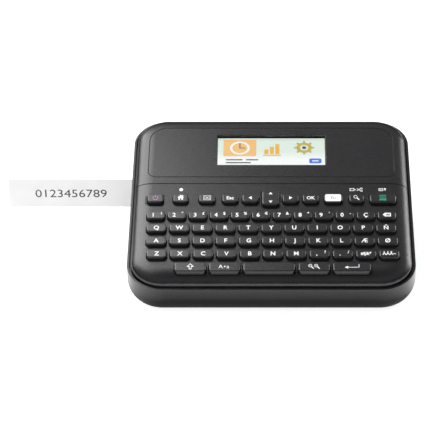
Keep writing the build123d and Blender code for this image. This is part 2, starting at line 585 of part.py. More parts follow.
def top_housing():
    """Deck with the key openings, the plate under the lid, the hinge ears and trough, posts and upper bosses."""
    deck = outer_crown(-GROOVE_DEPTH) & block(-WIDTH, WIDTH, -1, SEAM_FRONT, -GROOVE_DEPTH - 1, CROWN_HEIGHT + 1)
    deck -= inner_crown(-GROOVE_DEPTH - 1) & block(
        -WIDTH, WIDTH, -1, SEAM_FRONT - COVER_WALL, -GROOVE_DEPTH - 2, CROWN_HEIGHT + 1)
    deck -= [rounded_plate(x, u, width + 2 * KEY_GAP, depth + 2 * KEY_GAP, KEY_RADIUS + KEY_GAP, 0, KEY_TOP)
             for _, x, u, width, depth in key_list()]
    deck -= [rounded_plate(x, u, width + 2 * RING_MARGIN, depth + 2 * RING_MARGIN, KEY_RADIUS + RING_MARGIN,
                           CROWN_HEIGHT - RING_DEPTH, KEY_TOP)
             for name, x, u, width, depth in key_list() if name in RINGED_KEYS]
    for x, u in BOARD_POSTS:
        deck += rod((x, u), POST_RADIUS, BOARD_TOP, INNER_TOP + 0.5)

    plate_inset = WALL + LEDGE_WIDTH + FIT
    plate = rim_prism(plate_inset, BAY_DECK_BOTTOM, BAY_DECK_TOP)
    plate &= block(-WIDTH, WIDTH, SEAM_FRONT - COVER_WALL, HINGE_U - LID_SWEEP_GAP, BAY_DECK_BOTTOM - 1, 0)
    step_wall = rim_prism(plate_inset, BAY_DECK_BOTTOM, 0)
    step_wall &= block(-WIDTH, WIDTH, SEAM_FRONT - COVER_WALL, SEAM_FRONT, BAY_DECK_BOTTOM - 1, 0)
    trough = rim_prism(WALL + FIT, -TROUGH_DEPTH - TROUGH_FLOOR, BAY_DECK_TOP)
    trough &= block(-WIDTH / 2 + 10, WIDTH / 2 - 10, HINGE_U - LID_SWEEP_GAP - TROUGH_WALL, SLOPE_LENGTH,
                    -TROUGH_DEPTH - TROUGH_FLOOR, BAY_DECK_TOP)
    trough -= block(-WIDTH, WIDTH, HINGE_U - LID_SWEEP_GAP, SLOPE_LENGTH, -TROUGH_DEPTH, 0)
    deck += plate + step_wall + trough

    for side in (-1, 1):
        middle = side * HINGE_X
        reach = KNUCKLE_LENGTH / 2 + HINGE_GAP
        deck -= block(middle - reach, middle + reach, HINGE_U - KNUCKLE_RADIUS - 0.6, SLOPE_LENGTH,
                      BAY_DECK_BOTTOM, 0)
        for outward in (-1, 1):
            x0, x1 = sorted((middle + outward * reach, middle + outward * (reach + EAR_LENGTH)))
            deck += cross_rod((HINGE_U, 0), EAR_RADIUS, x0, x1)
            deck += block(x0, x1, HINGE_U - EAR_RADIUS, HINGE_U - LID_SWEEP_GAP, BAY_DECK_BOTTOM, 0)
        half = reach + EAR_LENGTH + 1
        deck -= cross_rod((HINGE_U, 0), PIN_RADIUS + RUNNING_FIT, middle - half, middle + half)

    housing = DECK * deck
    housing -= BAY * tray_prism(0, 10, 60)
    housing -= exit_pocket(GUIDE_FIT)
    within = DECK * crown(CROWN_INSET + 0.5, -2 * RIM_BACK_HEIGHT, CROWN_HEIGHT - 0.5, ROLL_WIDTH, ROLL_HEIGHT)
    under_deck = DECK * block(-WIDTH, WIDTH, SEAM_FRONT, SLOPE_LENGTH, -2 * RIM_BACK_HEIGHT, BAY_DECK_TOP)
    for x, depth in SCREWS:
        place = (x, FRONT_Y + depth)
        boss = rod(place, BOSS_RADIUS, BOSS_SPLIT, 2 * RIM_BACK_HEIGHT) & within
        if depth > SEAM_U:
            boss &= under_deck
        housing += boss
        housing -= rod(place, SCREW_RADIUS + THREAD_FIT, BOSS_SPLIT - 1, SCREW_SEAT + SCREW_LENGTH + 1)
    return housing


# ================================================================ lid and screen
def lid_shell():
    """Rear crown that carries the screen and swings up on two knuckles."""
    over_seam = block(-WIDTH, WIDTH, SEAM_BACK, SLOPE_LENGTH, -LID_SKIRT - 1, CROWN_HEIGHT + 1)
    shell = outer_crown(-LID_SKIRT) & over_seam
    room = inner_crown(-LID_SKIRT - 2)
    room &= block(-WIDTH, WIDTH, SEAM_BACK + COVER_WALL, SLOPE_LENGTH, -LID_SKIRT - 3, CROWN_HEIGHT)
    room -= extrude(Pos(0, 0, LCD_SEAT) * panel_outline(-1.5), CROWN_HEIGHT)
    shell -= room
    shell -= extrude(Pos(0, 0, PANEL_SEAT) * panel_outline(0), CROWN_HEIGHT)
    shell -= rounded_plate(0, WINDOW_MIDDLE_U, WINDOW_WIDTH + 2 * (LENS_MARGIN + FIT),
                           WINDOW_DEPTH + 2 * (LENS_MARGIN + FIT), 2.0, 0, CROWN_HEIGHT)
    shell -= block(-WIDTH, WIDTH, HINGE_U - 4, SLOPE_LENGTH, -LID_SKIRT - 1, -REAR_SKIRT)
    for side in (-1, 1):
        x0, x1 = side * HINGE_X - KNUCKLE_LENGTH / 2, side * HINGE_X + KNUCKLE_LENGTH / 2
        shell += cross_rod((HINGE_U, 0), KNUCKLE_RADIUS, x0, x1)
        shell += block(x0, x1, HINGE_U - KNUCKLE_RADIUS, HINGE_U + 1, 0, INNER_TOP + 0.4)
        shell -= cross_rod((HINGE_U, 0), PIN_RADIUS + RUNNING_FIT, x0 - 1, x1 + 1)
    return DECK * shell


def hinge_pins():
    """Two steel pins, one through each knuckle and its ears."""
    half = KNUCKLE_LENGTH / 2 + HINGE_GAP + EAR_LENGTH
    return DECK * Compound([cross_rod((HINGE_U, 0), PIN_RADIUS, side * HINGE_X - half, side * HINGE_X + half)
                            for side in (-1, 1)])


def window_prism(margin, radius, bottom, top):
    """Prism of the window's outline plus a margin, in the deck frame."""
    return rounded_plate(0, WINDOW_MIDDLE_U, WINDOW_WIDTH + 2 * margin, WINDOW_DEPTH + 2 * margin,
                         radius, bottom, top)


def screen_panel():
    """Thin front panel let into the lid, with the window opening."""
    panel = outer_crown(0) & extrude(Pos(0, 0, PANEL_SEAT) * panel_outline(PANEL_GROOVE), CROWN_HEIGHT)
    return DECK * (panel - window_prism(0, WINDOW_RADIUS, 0, 2 * CROWN_HEIGHT))


def screen_lens():
    """Clear window under the panel."""
    return DECK * window_prism(LENS_MARGIN, 2.0 - FIT, LCD_SEAT, PANEL_SEAT)


def lcd_module():
    """Colour screen module under the lens, with its active area let in."""
    module = window_prism(LENS_MARGIN + LCD_MARGIN, 1.0, LCD_SEAT - LCD_THICKNESS, LCD_SEAT)
    module -= window_prism(-0.4, 0.4, LCD_SEAT - 0.3, LCD_SEAT + 1)
    return DECK * module


def lid_liner():
    """Thin plate that closes the lid from below."""
    liner = rim_prism(CROWN_INSET + COVER_WALL + FIT, LINER_LOW, LINER_LOW + LINER_THICKNESS)
    liner &= block(-WIDTH, WIDTH, SEAM_BACK + COVER_WALL + FIT, HINGE_U - 6, LINER_LOW - 1, 0)
    return DECK * liner


# ================================================================ keyboard
def key_mat():
    """Rubber mat with a dome under each key."""
    mat = rounded_plate(0, (MAT_FRONT_U + MAT_BACK_U) / 2, MAT_WIDTH, MAT_BACK_U - MAT_FRONT_U, MAT_RADIUS,
                        BOARD_TOP, MAT_TOP)
    for x, u in BOARD_POSTS:
        mat -= rod((x, u), POST_RADIUS + SLIDE_FIT, BOARD_TOP - 1, MAT_TOP + 1)
    domes = []
    for _, x, u, width, _ in key_list():
        spots = (-width / 4, width / 4) if width > 2 * ROW_DEPTH else (0,)
        domes += [rod((x + shift, u), DOME_RADIUS, BOARD_TOP, DOME_TOP) for shift in spots]
    return DECK * (mat + domes)


def keyboard_board():
    """Circuit board under the mat, screwed to the deck's posts, with parts on its underside."""
    board = rounded_plate(0, (BOARD_FRONT_U + BOARD_BACK_U) / 2, BOARD_WIDTH, BOARD_BACK_U - BOARD_FRONT_U,
                          BOARD_RADIUS, BOARD_TOP - BOARD_THICKNESS, BOARD_TOP)
    low = BOARD_TOP - BOARD_THICKNESS
    for x, u, width, depth, height in KEYBOARD_PARTS:
        board += block(x - width / 2, x + width / 2, u - depth / 2, u + depth / 2, low - height, low + SOLDER)
    return DECK * board


# ================================================================ bay and print mechanism, bay frame
def cassette_bay():
    """Tray that takes the cassette, hung from the plate under the lid, with the holder's pin and a blade rib."""
    tray = tray_prism(TRAY_WALL, -TRAY_WALL, 60) - tray_prism(0, 0, 61)
    tray += rod(HOLDER_PIVOT, SHAFT_RADIUS, -TRAY_WALL, HOLDER_LOW + HOLDER_HEIGHT + 0.4)
    rib_left = CUT_X + BLADE_GAP + FIXED_BLADE_THICKNESS
    tray += block(rib_left, rib_left + TRAY_WALL, 3.0, 9.0, -0.5, 22.0)
    tray -= rod(RIBBON, SPINDLE_RADIUS + 0.4, -TRAY_WALL - 1, 1)
    tray -= rod(MOTOR, 3.0, -TRAY_WALL - 1, 1)
    reach = hypot(PLATEN[0] - HOLDER_PIVOT_X, PLATEN[1] - HOLDER_PIVOT_V)
    swing = reach * sin(radians(HOLDER_OPEN))
    tray -= block(PLATEN_X - SHAFT_RADIUS - 1, PLATEN_X + SHAFT_RADIUS + 0.5, PLATEN[1] - SHAFT_RADIUS - swing - 0.6,
                  PLATEN[1] + SHAFT_RADIUS + 0.5, -TRAY_WALL - 1, 1)
    tray -= block(LEVER_X[0] - EAR_GAP, CUT_X + BLADE_GAP, LEVER_PIVOT_V - 3, 1.6, -TRAY_WALL - 1, 1)
    body = BAY * tray
    body -= exit_pocket(GUIDE_FIT)
    return body & (DECK * block(-WIDTH, WIDTH, -1, 2 * SLOPE_LENGTH, -2 * RIM_BACK_HEIGHT, BAY_DECK_BOTTOM))


def print_chassis():
    """Steel plate under the tray with the gear pins, the lever's ears and the cutter motor's flange."""
    low, high = CHASSIS_BOTTOM, CHASSIS_TOP
    plate = block(*CHASSIS_GEAR_X, TRAY_FRONT, CHASSIS_BACK, low, high)
    plate += block(*CHASSIS_CUTTER_X, CHASSIS_CUTTER_FRONT, CHASSIS_BACK, low, high)
    ear_left = (LEVER_X[0] - EAR_GAP - CHASSIS_EAR, LEVER_X[0] - EAR_GAP)
    ear_right = (LEVER_X[1] + EAR_GAP, LEVER_X[1] + EAR_GAP + CHASSIS_EAR)
    plate -= block(ear_left[1], ear_right[0], LEVER_PIVOT_V - 6, LEVER_SLOT_BACK, low - 1, high + 1)
    for x0, x1 in (ear_left, ear_right):
        plate += block(x0, x1, LEVER_PIVOT_V - 3, LEVER_PIVOT_V + 3, LEVER_PIVOT_W - 3, high)
    plate += cross_rod(LEVER_PIVOT, SHAFT_RADIUS, ear_left[0], ear_right[1])
    flange_x = ear_right[1] + FLANGE_GAP
    flange = block(flange_x, flange_x + CHASSIS_EAR, CUTTER_MOTOR[0] - CUTTER_MOTOR_RADIUS, FLANGE_BACK,
                   LEVER_PIVOT_W - CUTTER_MOTOR_RADIUS, high)
    plate += flange - cross_rod(CUTTER_MOTOR, 2 * MOTOR_SHAFT_RADIUS, flange_x - 1, flange_x + 3)
    plate += rod(IDLER_A, SHAFT_RADIUS, low, GEAR_TOP + 0.3)
    plate += rod(IDLER_B, SHAFT_RADIUS, low, LOWER_GEAR_TOP + 1.0)
    plate += rod(RIBBON, SHAFT_RADIUS, low, LOWER_GEAR_TOP + 1.0)
    return BAY * plate


def motor_face_x():
    """Where the cutter motor's face meets the chassis flange, x."""
    return LEVER_X[1] + EAR_GAP + CHASSIS_EAR + FLANGE_GAP + CHASSIS_EAR


def motor_pinion():
    """Feed motor's pinion with its shaft."""
    pinion = gear(MOTOR, PINION_TEETH, MOTOR_PHASE, GEAR_TOP - GEAR_WIDTH, GEAR_TOP)
    return BAY * (pinion + rod(MOTOR, MOTOR_SHAFT_RADIUS, GEAR_TOP - GEAR_WIDTH, 4.0))


def feed_motor():
    """Motor can on the tray floor, with a bearing nose and a bore for its shaft."""
    can = rod(MOTOR, MOTOR_RADIUS, 0, MOTOR_LENGTH)
    can = chamfer(can.edges().group_by(Axis.Z)[-1], 0.8)
    can += rod(MOTOR, 2.4, -TRAY_WALL + 0.2, 0)
    can += rod(MOTOR, 2.6, MOTOR_LENGTH, MOTOR_LENGTH + 0.9)
    return BAY * (can - rod(MOTOR, MOTOR_SHAFT_RADIUS + RUNNING_FIT, -TRAY_WALL, 4.2))


def pinned_gear(place, teeth, phase, z0, z1):
    """Gear that runs on a chassis pin."""
    return gear(place, teeth, phase, z0, z1) - rod(place, SHAFT_RADIUS + RUNNING_FIT, z0 - 1, z1 + 1)


def idler_gear_a():
    """Double gear: the motor drives its large wheel, its small wheel drives idler B."""
    large = gear(IDLER_A, IDLER_A_TEETH, 0.0, GEAR_TOP - GEAR_WIDTH, GEAR_TOP)
    small = gear(IDLER_A, IDLER_A_SMALL_TEETH, IDLER_A_PHASE, LOWER_GEAR_TOP - GEAR_WIDTH, GEAR_TOP - GEAR_WIDTH)
    bore = rod(IDLER_A, SHAFT_RADIUS + RUNNING_FIT, CHASSIS_TOP, 0)
    return BAY * (large + small - bore)


def idler_gear_b():
    """Gear between idler A, the platen gear and the ribbon spindle."""
    return BAY * pinned_gear(IDLER_B, IDLER_B_TEETH, IDLER_B_PHASE, LOWER_GEAR_TOP - GEAR_WIDTH, LOWER_GEAR_TOP)


def platen_gear():
    """Gear on the lower end of the platen shaft."""
    wheel = gear(PLATEN, PLATEN_TEETH, PLATEN_PHASE, LOWER_GEAR_TOP - GEAR_WIDTH, LOWER_GEAR_TOP)
    return BAY * (wheel - rod(PLATEN, SHAFT_RADIUS, CHASSIS_TOP, 0))


def platen_roller():
    """Rubber roller on its shaft."""
    shaft = rod(PLATEN, SHAFT_RADIUS, LOWER_GEAR_TOP - GEAR_WIDTH, HOLDER_LOW + HOLDER_HEIGHT + 0.4)
    return BAY * (shaft + rod(PLATEN, PLATEN_RADIUS, PLATEN_LOW, PLATEN_LOW + PLATEN_LENGTH))


def roller_holder():
    """Swinging holder that carries the platen roller between two arms."""
    low, high = HOLDER_LOW, HOLDER_LOW + HOLDER_HEIGHT
    back_face = PLATEN[1] - PLATEN_RADIUS - 0.5
    body = block(PLATEN_X - 5, HOLDER_PIVOT_X, back_face - HOLDER_ARM, back_face, low, high)
    for z0 in (low, high - HOLDER_ARM):
        body += block(PLATEN_X - 4, HOLDER_PIVOT_X, back_face - HOLDER_ARM, PLATEN[1], z0, z0 + HOLDER_ARM)
        body += rod(PLATEN, 3.2, z0, z0 + HOLDER_ARM)
    body += rod(HOLDER_PIVOT, 2.9, low, high)
    body -= rod(HOLDER_PIVOT, SHAFT_RADIUS + RUNNING_FIT, low - 1, high + 1)
    body -= rod(PLATEN, SHAFT_RADIUS + RUNNING_FIT, low - 1, high + 1)
    return BAY * body


def thermal_head():
    """Ceramic heater board that the tape runs over."""
    front = TAPE_THICKNESS / 2 + NIP_GAP
    return BAY * block(*HEAD_X, front, front + HEAD_THICKNESS, TAPE_LOW, TAPE_LOW + TAPE_WIDTH)


def head_heatsink():
    """Aluminium plate behind the heater board, with its foot on the tray floor."""
    front = TAPE_THICKNESS / 2 + NIP_GAP + HEAD_THICKNESS
    left, right = HEAD_X[0] - 1, HEAD_X[1] + 1
    sink = block(left, right, front, front + HEAT_SINK_THICKNESS, 0, TAPE_LOW + TAPE_WIDTH)
    return BAY * (sink + block(left, right, front, front + HEAT_SINK_THICKNESS + HEAT_SINK_FOOT, 0, 1.2))


def tape_run(margin):
    """Tape from the cutter past the head to the roll, thickened by a margin on both sides."""
    half = TAPE_THICKNESS / 2 + margin
    turn = (CAVITY_X[1] + 1.0, 0.0)
    roll_radius = TAPE_ROLL_RADIUS + half
    distance = hypot(TAPE_ROLL[0] - turn[0], TAPE_ROLL[1] - turn[1])
    along = direction(turn, TAPE_ROLL) - degrees(asin(roll_radius / distance))
    length = sqrt(distance ** 2 - roll_radius ** 2)
    low, high = TAPE_LOW - margin, TAPE_LOW + TAPE_WIDTH + margin
    straight = block(CUT_X + 0.2, turn[0], -half, half, low, high)
    slanted = Pos(*turn, 0) * Rot(0, 0, along) * block(-half * 0.3, length, -half, half, low, high)
    return straight + slanted


def tape_strip():
    """Unprinted tape on its way from the roll to the cutter."""
    return BAY * (tape_run(0) - rod(TAPE_ROLL, TAPE_ROLL_RADIUS + 0.05, 0, CASSETTE_HEIGHT))


def cassette_prism(inset, bottom, top):
    """Prism of the cassette's outline, drawn in by an inset, in the bay frame."""
    return rounded_plate((CASSETTE_LEFT + CASSETTE_RIGHT) / 2, (CASSETTE_FRONT + CASSETTE_BACK) / 2,
                         CASSETTE_RIGHT - CASSETTE_LEFT - 2 * inset, CASSETTE_BACK - CASSETTE_FRONT - 2 * inset,
                         CASSETTE_RADIUS - inset, bottom, top)


def cassette_case():
    """Closed case of the tape cassette, with a cavity for the head and a post for the roll."""
    wall = CASSETTE_WALL
    case = cassette_prism(0, 0, CASSETTE_HEIGHT)
    room = cassette_prism(wall, wall, CASSETTE_HEIGHT - wall)
    room -= block(CAVITY_X[0] - wall, CAVITY_X[1] + wall, 0, CAVITY_BACK + wall, 0, CASSETTE_HEIGHT)
    case -= room
    case -= block(*CAVITY_X, 0, CAVITY_BACK, -1, CASSETTE_HEIGHT + 1)
    case += rod(TAPE_ROLL, TAPE_CORE_RADIUS / 2, wall / 2, CASSETTE_HEIGHT - wall / 2)
    case -= rod(RIBBON, SPINDLE_RADIUS + 0.5, -1, wall + 1)
    case -= block(-30.0, -12.0, CASSETTE_BACK - wall - 1, CASSETTE_BACK + 1, 8.0, 20.0)
    return BAY * (case - tape_run(0.4))


def tape_roll():
    """Tape wound on its core, turning on the cassette's post."""
    roll = rod(TAPE_ROLL, TAPE_ROLL_RADIUS, TAPE_LOW, TAPE_LOW + TAPE_WIDTH)
    return BAY * (roll - rod(TAPE_ROLL, TAPE_CORE_RADIUS / 2 + RUNNING_FIT, 0, CASSETTE_HEIGHT))


def ribbon_spindle():
    """Gear and splined shaft that winds the ribbon up."""
    high = TAPE_LOW + TAPE_WIDTH - 4
    spindle = gear(RIBBON, RIBBON_TEETH, RIBBON_PHASE, LOWER_GEAR_TOP - GEAR_WIDTH, LOWER_GEAR_TOP)
    spindle += rod(RIBBON, SPINDLE_RADIUS, LOWER_GEAR_TOP - GEAR_WIDTH, high)
    spindle -= rod(RIBBON, SHAFT_RADIUS + RUNNING_FIT, CHASSIS_TOP, LOWER_GEAR_TOP + 1.2)
    return BAY * spindle


def ribbon_spool():
    """Wound ribbon on its spool, keyed to the spindle."""
    spool = rod(RIBBON, RIBBON_ROLL_RADIUS, TAPE_LOW + 0.5, TAPE_LOW + TAPE_WIDTH - 0.5)
    return BAY * (spool - rod(RIBBON, SPINDLE_RADIUS, 0, CASSETTE_HEIGHT))


def lever_plane(x):
    """Plane square to x whose own axes are v and w."""
    return Plane(origin=(x, 0, 0), x_dir=(0, 1, 0), z_dir=(1, 0, 0))


def cross_gear(place, teeth, phase, x0, x1):
    """Spur gear whose axis lies along x."""
    return extrude(lever_plane(x0) * Pos(*place) * gear_face(teeth, phase), x1 - x0)


def cutter_lever():
    """Moving blade on a lever with a toothed sector."""
    x0, x1 = LEVER_X
    reach = pitch_radius(SECTOR_TEETH) + 3
    rise = reach * tan(radians(SECTOR_SPAN / 2))
    v, w = LEVER_PIVOT
    wedge = lever_plane(x0 - 1) * make_face(Polyline((v, w), (v - reach, w + rise), (v - reach, w - rise), close=True))
    lever = cross_gear(LEVER_PIVOT, SECTOR_TEETH, SECTOR_PHASE, x0, x1) & extrude(wedge, LEVER_THICKNESS + 2)
    lever += cross_rod(LEVER_PIVOT, LEVER_HUB_RADIUS, x0, x1)
    lever += block(x0, x1, v - 2.5, v + LEVER_HUB_RADIUS, w, -TRAY_WALL - 0.8)
    blade = Polyline((v - 1, w + 5), (v + 4.8, w + 5), (v + 4.8, 27.0), (v + 2.0, 27.0), (v - 1, 20.0), close=True)
    lever += extrude(lever_plane(x1 - BLADE_THICKNESS) * make_face(blade), BLADE_THICKNESS)
    lever -= cross_rod(LEVER_PIVOT, SHAFT_RADIUS + RUNNING_FIT, x0 - 1, x1 + 1)
    return BAY * lever


def fixed_blade():
    """Fixed counter blade behind the tape."""
    x0 = CUT_X + BLADE_GAP
    return BAY * block(x0, x0 + FIXED_BLADE_THICKNESS, *FIXED_BLADE, 0, TAPE_LOW + TAPE_WIDTH + 0.5)


def cutter_motor():
    """Small flat-sided motor behind the chassis flange."""
    x0 = motor_face_x()
    can = cross_rod(CUTTER_MOTOR, CUTTER_MOTOR_RADIUS, x0, x0 + CUTTER_MOTOR_LENGTH)
    flat = CUTTER_MOTOR_RADIUS * 0.8
    can &= block(x0, x0 + CUTTER_MOTOR_LENGTH, CUTTER_MOTOR[0] - 20, CUTTER_MOTOR[0] + 20,
                 CUTTER_MOTOR[1] - flat, CUTTER_MOTOR[1] + flat)
    return BAY * (can - cross_rod(CUTTER_MOTOR, MOTOR_SHAFT_RADIUS + RUNNING_FIT, x0 - 1, x0 + 5.2))


def cutter_pinion():
    """Cutter motor's pinion with its shaft."""
    pinion = cross_gear(CUTTER_MOTOR, PINION_TEETH, CUTTER_PHASE, *LEVER_X)
    return BAY * (pinion + cross_rod(CUTTER_MOTOR, MOTOR_SHAFT_RADIUS, LEVER_X[0], motor_face_x() + 5.0))


def exit_guide():
    """Slotted guide through the casing's left wall."""
    half = GUIDE_SLOT / 2 + GUIDE_WALL
    guide = block(-WIDTH / 2, GUIDE_INNER_X, -half, half, GUIDE_LOW, GUIDE_HIGH)
    guide -= block(-WIDTH / 2 - 1, GUIDE_INNER_X + 1, -GUIDE_SLOT / 2, GUIDE_SLOT / 2,
                   TAPE_LOW - 0.4, TAPE_LOW + TAPE_WIDTH + 0.4)
    return BAY * guide


def label_strip():
    """Printed label, cut off and waiting in the exit."""
    return BAY * block(-WIDTH / 2 - LABEL_OUTSIDE, LEVER_X[1] - BLADE_THICKNESS - 0.3, -TAPE_THICKNESS / 2,
                       TAPE_THICKNESS / 2, TAPE_LOW, TAPE_LOW + TAPE_WIDTH)


# ================================================================ electronics, battery and small parts, world frame
def main_board():
    """Main circuit board on four posts, with its parts and the tab that carries the ports."""
    left, right, front, back = MAIN_BOARD
    tab_right, tab_front, tab_back = BOARD_TAB
    low, high = MAIN_BOARD_HEIGHT, MAIN_BOARD_HEIGHT + BOARD_THICKNESS
    board = block(left, right, FRONT_Y + front, FRONT_Y + back, low, high)
    board += block(right - 1, tab_right, FRONT_Y + tab_front, FRONT_Y + tab_back, low, high)
    for x, depth, width, length, height in MAIN_BOARD_PARTS:
        y = FRONT_Y + depth
        board += block(x - width / 2, x + width / 2, y - length / 2, y + length / 2, high - SOLDER, high + height)
    return board


def usb_port():
    """Shell of the USB socket with its tongue."""
    low = MAIN_BOARD_HEIGHT + BOARD_THICKNESS
    y, outer = FRONT_Y + USB_DEPTH, WIDTH / 2 - 0.3
    half, wall = USB_WIDTH / 2, 0.5
    port = block(outer - USB_LENGTH, outer, y - half, y + half, low, low + USB_HEIGHT)
    port -= block(outer - USB_LENGTH + 1, outer + 1, y - half + wall, y + half - wall, low + wall,
                  low + USB_HEIGHT - wall)
    middle = low + USB_HEIGHT / 2
    return port + block(outer - USB_LENGTH, outer - 2, y - half + 1.2, y + half - 1.2, middle - 0.4, middle + 0.4)


def dc_jack():
    """Power jack with its bore and centre pin."""
    low = MAIN_BOARD_HEIGHT + BOARD_THICKNESS
    y, outer = FRONT_Y + JACK_DEPTH, WIDTH / 2 - 0.3
    place = (y, low + JACK_HEIGHT / 2)
    nose = cross_rod(place, JACK_WIDTH / 2, outer - 4, outer)
    across, inside = JACK_WIDTH / 2, outer - WALL - 0.5
    body = block(outer - JACK_LENGTH, inside, y - across, y + across, low, low + JACK_HEIGHT)
    jack = body + nose - cross_rod(place, JACK_BORE_RADIUS, outer - JACK_LENGTH + 2.5, outer + 1)
    return jack + cross_rod(place, JACK_PIN_RADIUS, outer - JACK_LENGTH + 2, outer - 1)


def cell_places():
    """Each cell as (x, +1 or -1 for the end that its positive nub points to, along y)."""
    return [((k - (CELL_COUNT - 1) / 2) * CELL_PITCH, 1 if k % 2 else -1) for k in range(CELL_COUNT)]


def along_y(x, radius, y0, y1):
    """Cylinder along y at a cell's height."""
    return Pos(x, (y0 + y1) / 2, CELL_HEIGHT) * Rot(90, 0, 0) * Cylinder(radius, abs(y1 - y0))


def aa_cells():
    """Six AA cells side by side, their ends by turns to the front and the back."""
    cells = []
    for x, sign in cell_places():
        middle = CELL_MIDDLE + sign * CELL_SHIFT
        nub_end = middle + sign * CELL_LENGTH / 2
        flat_end = middle - sign * CELL_LENGTH / 2
        cell = along_y(x, CELL_RADIUS, flat_end, nub_end - sign * NUB_LENGTH)
        cell = fillet(cell.edges().filter_by(GeomType.CIRCLE), 0.6)
        cells.append(cell + along_y(x, NUB_RADIUS, nub_end - 2 * sign * NUB_LENGTH, nub_end))
    return Compound(cells)


def battery_contacts():
    """Flat contact at each positive end, coil contact at each negative end."""
    pieces = []
    half_width, half_height = CONTACT_HALF
    for x, sign in cell_places():
        flat_wall = CELL_MIDDLE + sign * BATTERY_BOX_LENGTH / 2
        coil_wall = CELL_MIDDLE - sign * BATTERY_BOX_LENGTH / 2
        for wall, inward in ((flat_wall, -sign), (coil_wall, sign)):
            y0, y1 = sorted((wall, wall + inward * CONTACT_THICKNESS))
            pieces.append(block(x - half_width, x + half_width, y0, y1, CELL_HEIGHT - half_height,
                                CELL_HEIGHT + half_height))
        length = BATTERY_BOX_LENGTH - CELL_LENGTH - 2 * CONTACT_THICKNESS
        start = coil_wall + sign * CONTACT_THICKNESS
        coil = Helix(pitch=(length - 0.2) / COIL_TURNS, height=length - 0.4, radius=COIL_RADIUS,
                     center=(x, start, CELL_HEIGHT), direction=(0, sign, 0))
        wire = Plane(origin=coil @ 0, z_dir=coil % 0) * Circle(COIL_WIRE_RADIUS)
        pieces[-1] += sweep(wire, path=coil, is_frenet=True)
    return Compound(pieces)


def battery_cover():
    """Cover under the cells, turning on two side pins at its front edge."""
    half = BOX_HALF - FIT
    cover = block(-half, half, COVER_AXIS[0], BATTERY_BACK_Y - FIT, FOOT_GAP, FOOT_GAP + COVER_PLATE)
    cover += cross_rod(COVER_AXIS, COVER_PLATE / 2, -half, half)
    cover += cross_rod(COVER_AXIS, COVER_PIN_RADIUS, -half - COVER_PIN_LENGTH, half + COVER_PIN_LENGTH)
    for k in range(GRIP_COUNT):
        y = BATTERY_BACK_Y - GRIP_DEPTH + GRIP_PITCH * k
        cover -= block(-GRIP_HALF, GRIP_HALF, y, y + GRIP_PITCH / 2, FOOT_GAP - 1, FOOT_GAP + 0.5)
    return cover


def rubber_feet():
    """Four round feet let into the casing's bottom."""
    feet = []
    for x in (-FOOT_X, FOOT_X):
        for depth in (FOOT_FRONT_DEPTH, FOOT_BACK_DEPTH):
            foot = rod((x, FRONT_Y + depth), FOOT_RADIUS, 0, FOOT_THICKNESS)
            feet.append(chamfer(foot.edges().group_by(Axis.Z)[0], 0.4))
    return Compound(feet)


def casing_screws():
    """Six screws that join the lower and the upper casing from below."""
    screws = []
    for x, depth in SCREWS:
        place = (x, FRONT_Y + depth)
        screw = rod(place, SCREW_HEAD_RADIUS, SCREW_SEAT - SCREW_HEAD, SCREW_SEAT)
        screw += rod(place, SCREW_RADIUS, SCREW_SEAT, SCREW_SEAT + SCREW_LENGTH)
        for long_x, long_y in ((SLOT_LENGTH, SLOT_WIDTH), (SLOT_WIDTH, SLOT_LENGTH)):
            screw -= block(x - long_x, x + long_x, place[1] - long_y, place[1] + long_y, 0, SCREW_SEAT - SCREW_HEAD + 1)
        screws.append(screw)
    return Compound(screws)


FIXED_AND_MOVING = [
    base_shell, top_housing, lid_shell, hinge_pins, screen_panel, screen_lens, lcd_module, lid_liner, key_mat,
    keyboard_board, cassette_bay, print_chassis, feed_motor, motor_pinion, idler_gear_a, idler_gear_b,
    platen_gear, platen_roller, roller_holder, thermal_head, head_heatsink, cassette_case, tape_roll, tape_strip,
    ribbon_spindle, ribbon_spool, fixed_blade, cutter_lever, cutter_motor, cutter_pinion, exit_guide, label_strip,
    main_board, usb_port, dc_jack, aa_cells, battery_contacts, battery_cover, rubber_feet, casing_screws,
]


def main():
    """Write one STEP file for each node."""
    os.makedirs("parts", exist_ok=True)
    for piece in FIXED_AND_MOVING:
        export_step(piece(), f"parts/{piece.__name__}.step")
    for name in dict.fromkeys(key[0] for key in key_list()):
        export_step(key_node(name), f"parts/{name}.step")


if __name__ == "__main__":
    main()
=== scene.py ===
"""Looks of a desktop label maker: its finishes, printed legends, screen picture, light and camera.

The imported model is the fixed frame. Everything here is in metres in the frame's own axes: +X to the right, +Y to the
back, +Z up. Artwork is drawn in millimetres on a flat sheet and then laid on the piece that carries it.
"""

import json
import logging
import math
from collections.abc import Callable
from dataclasses import dataclass, field
from enum import Enum

import bmesh
import bpy
from mathutils import Matrix, Vector

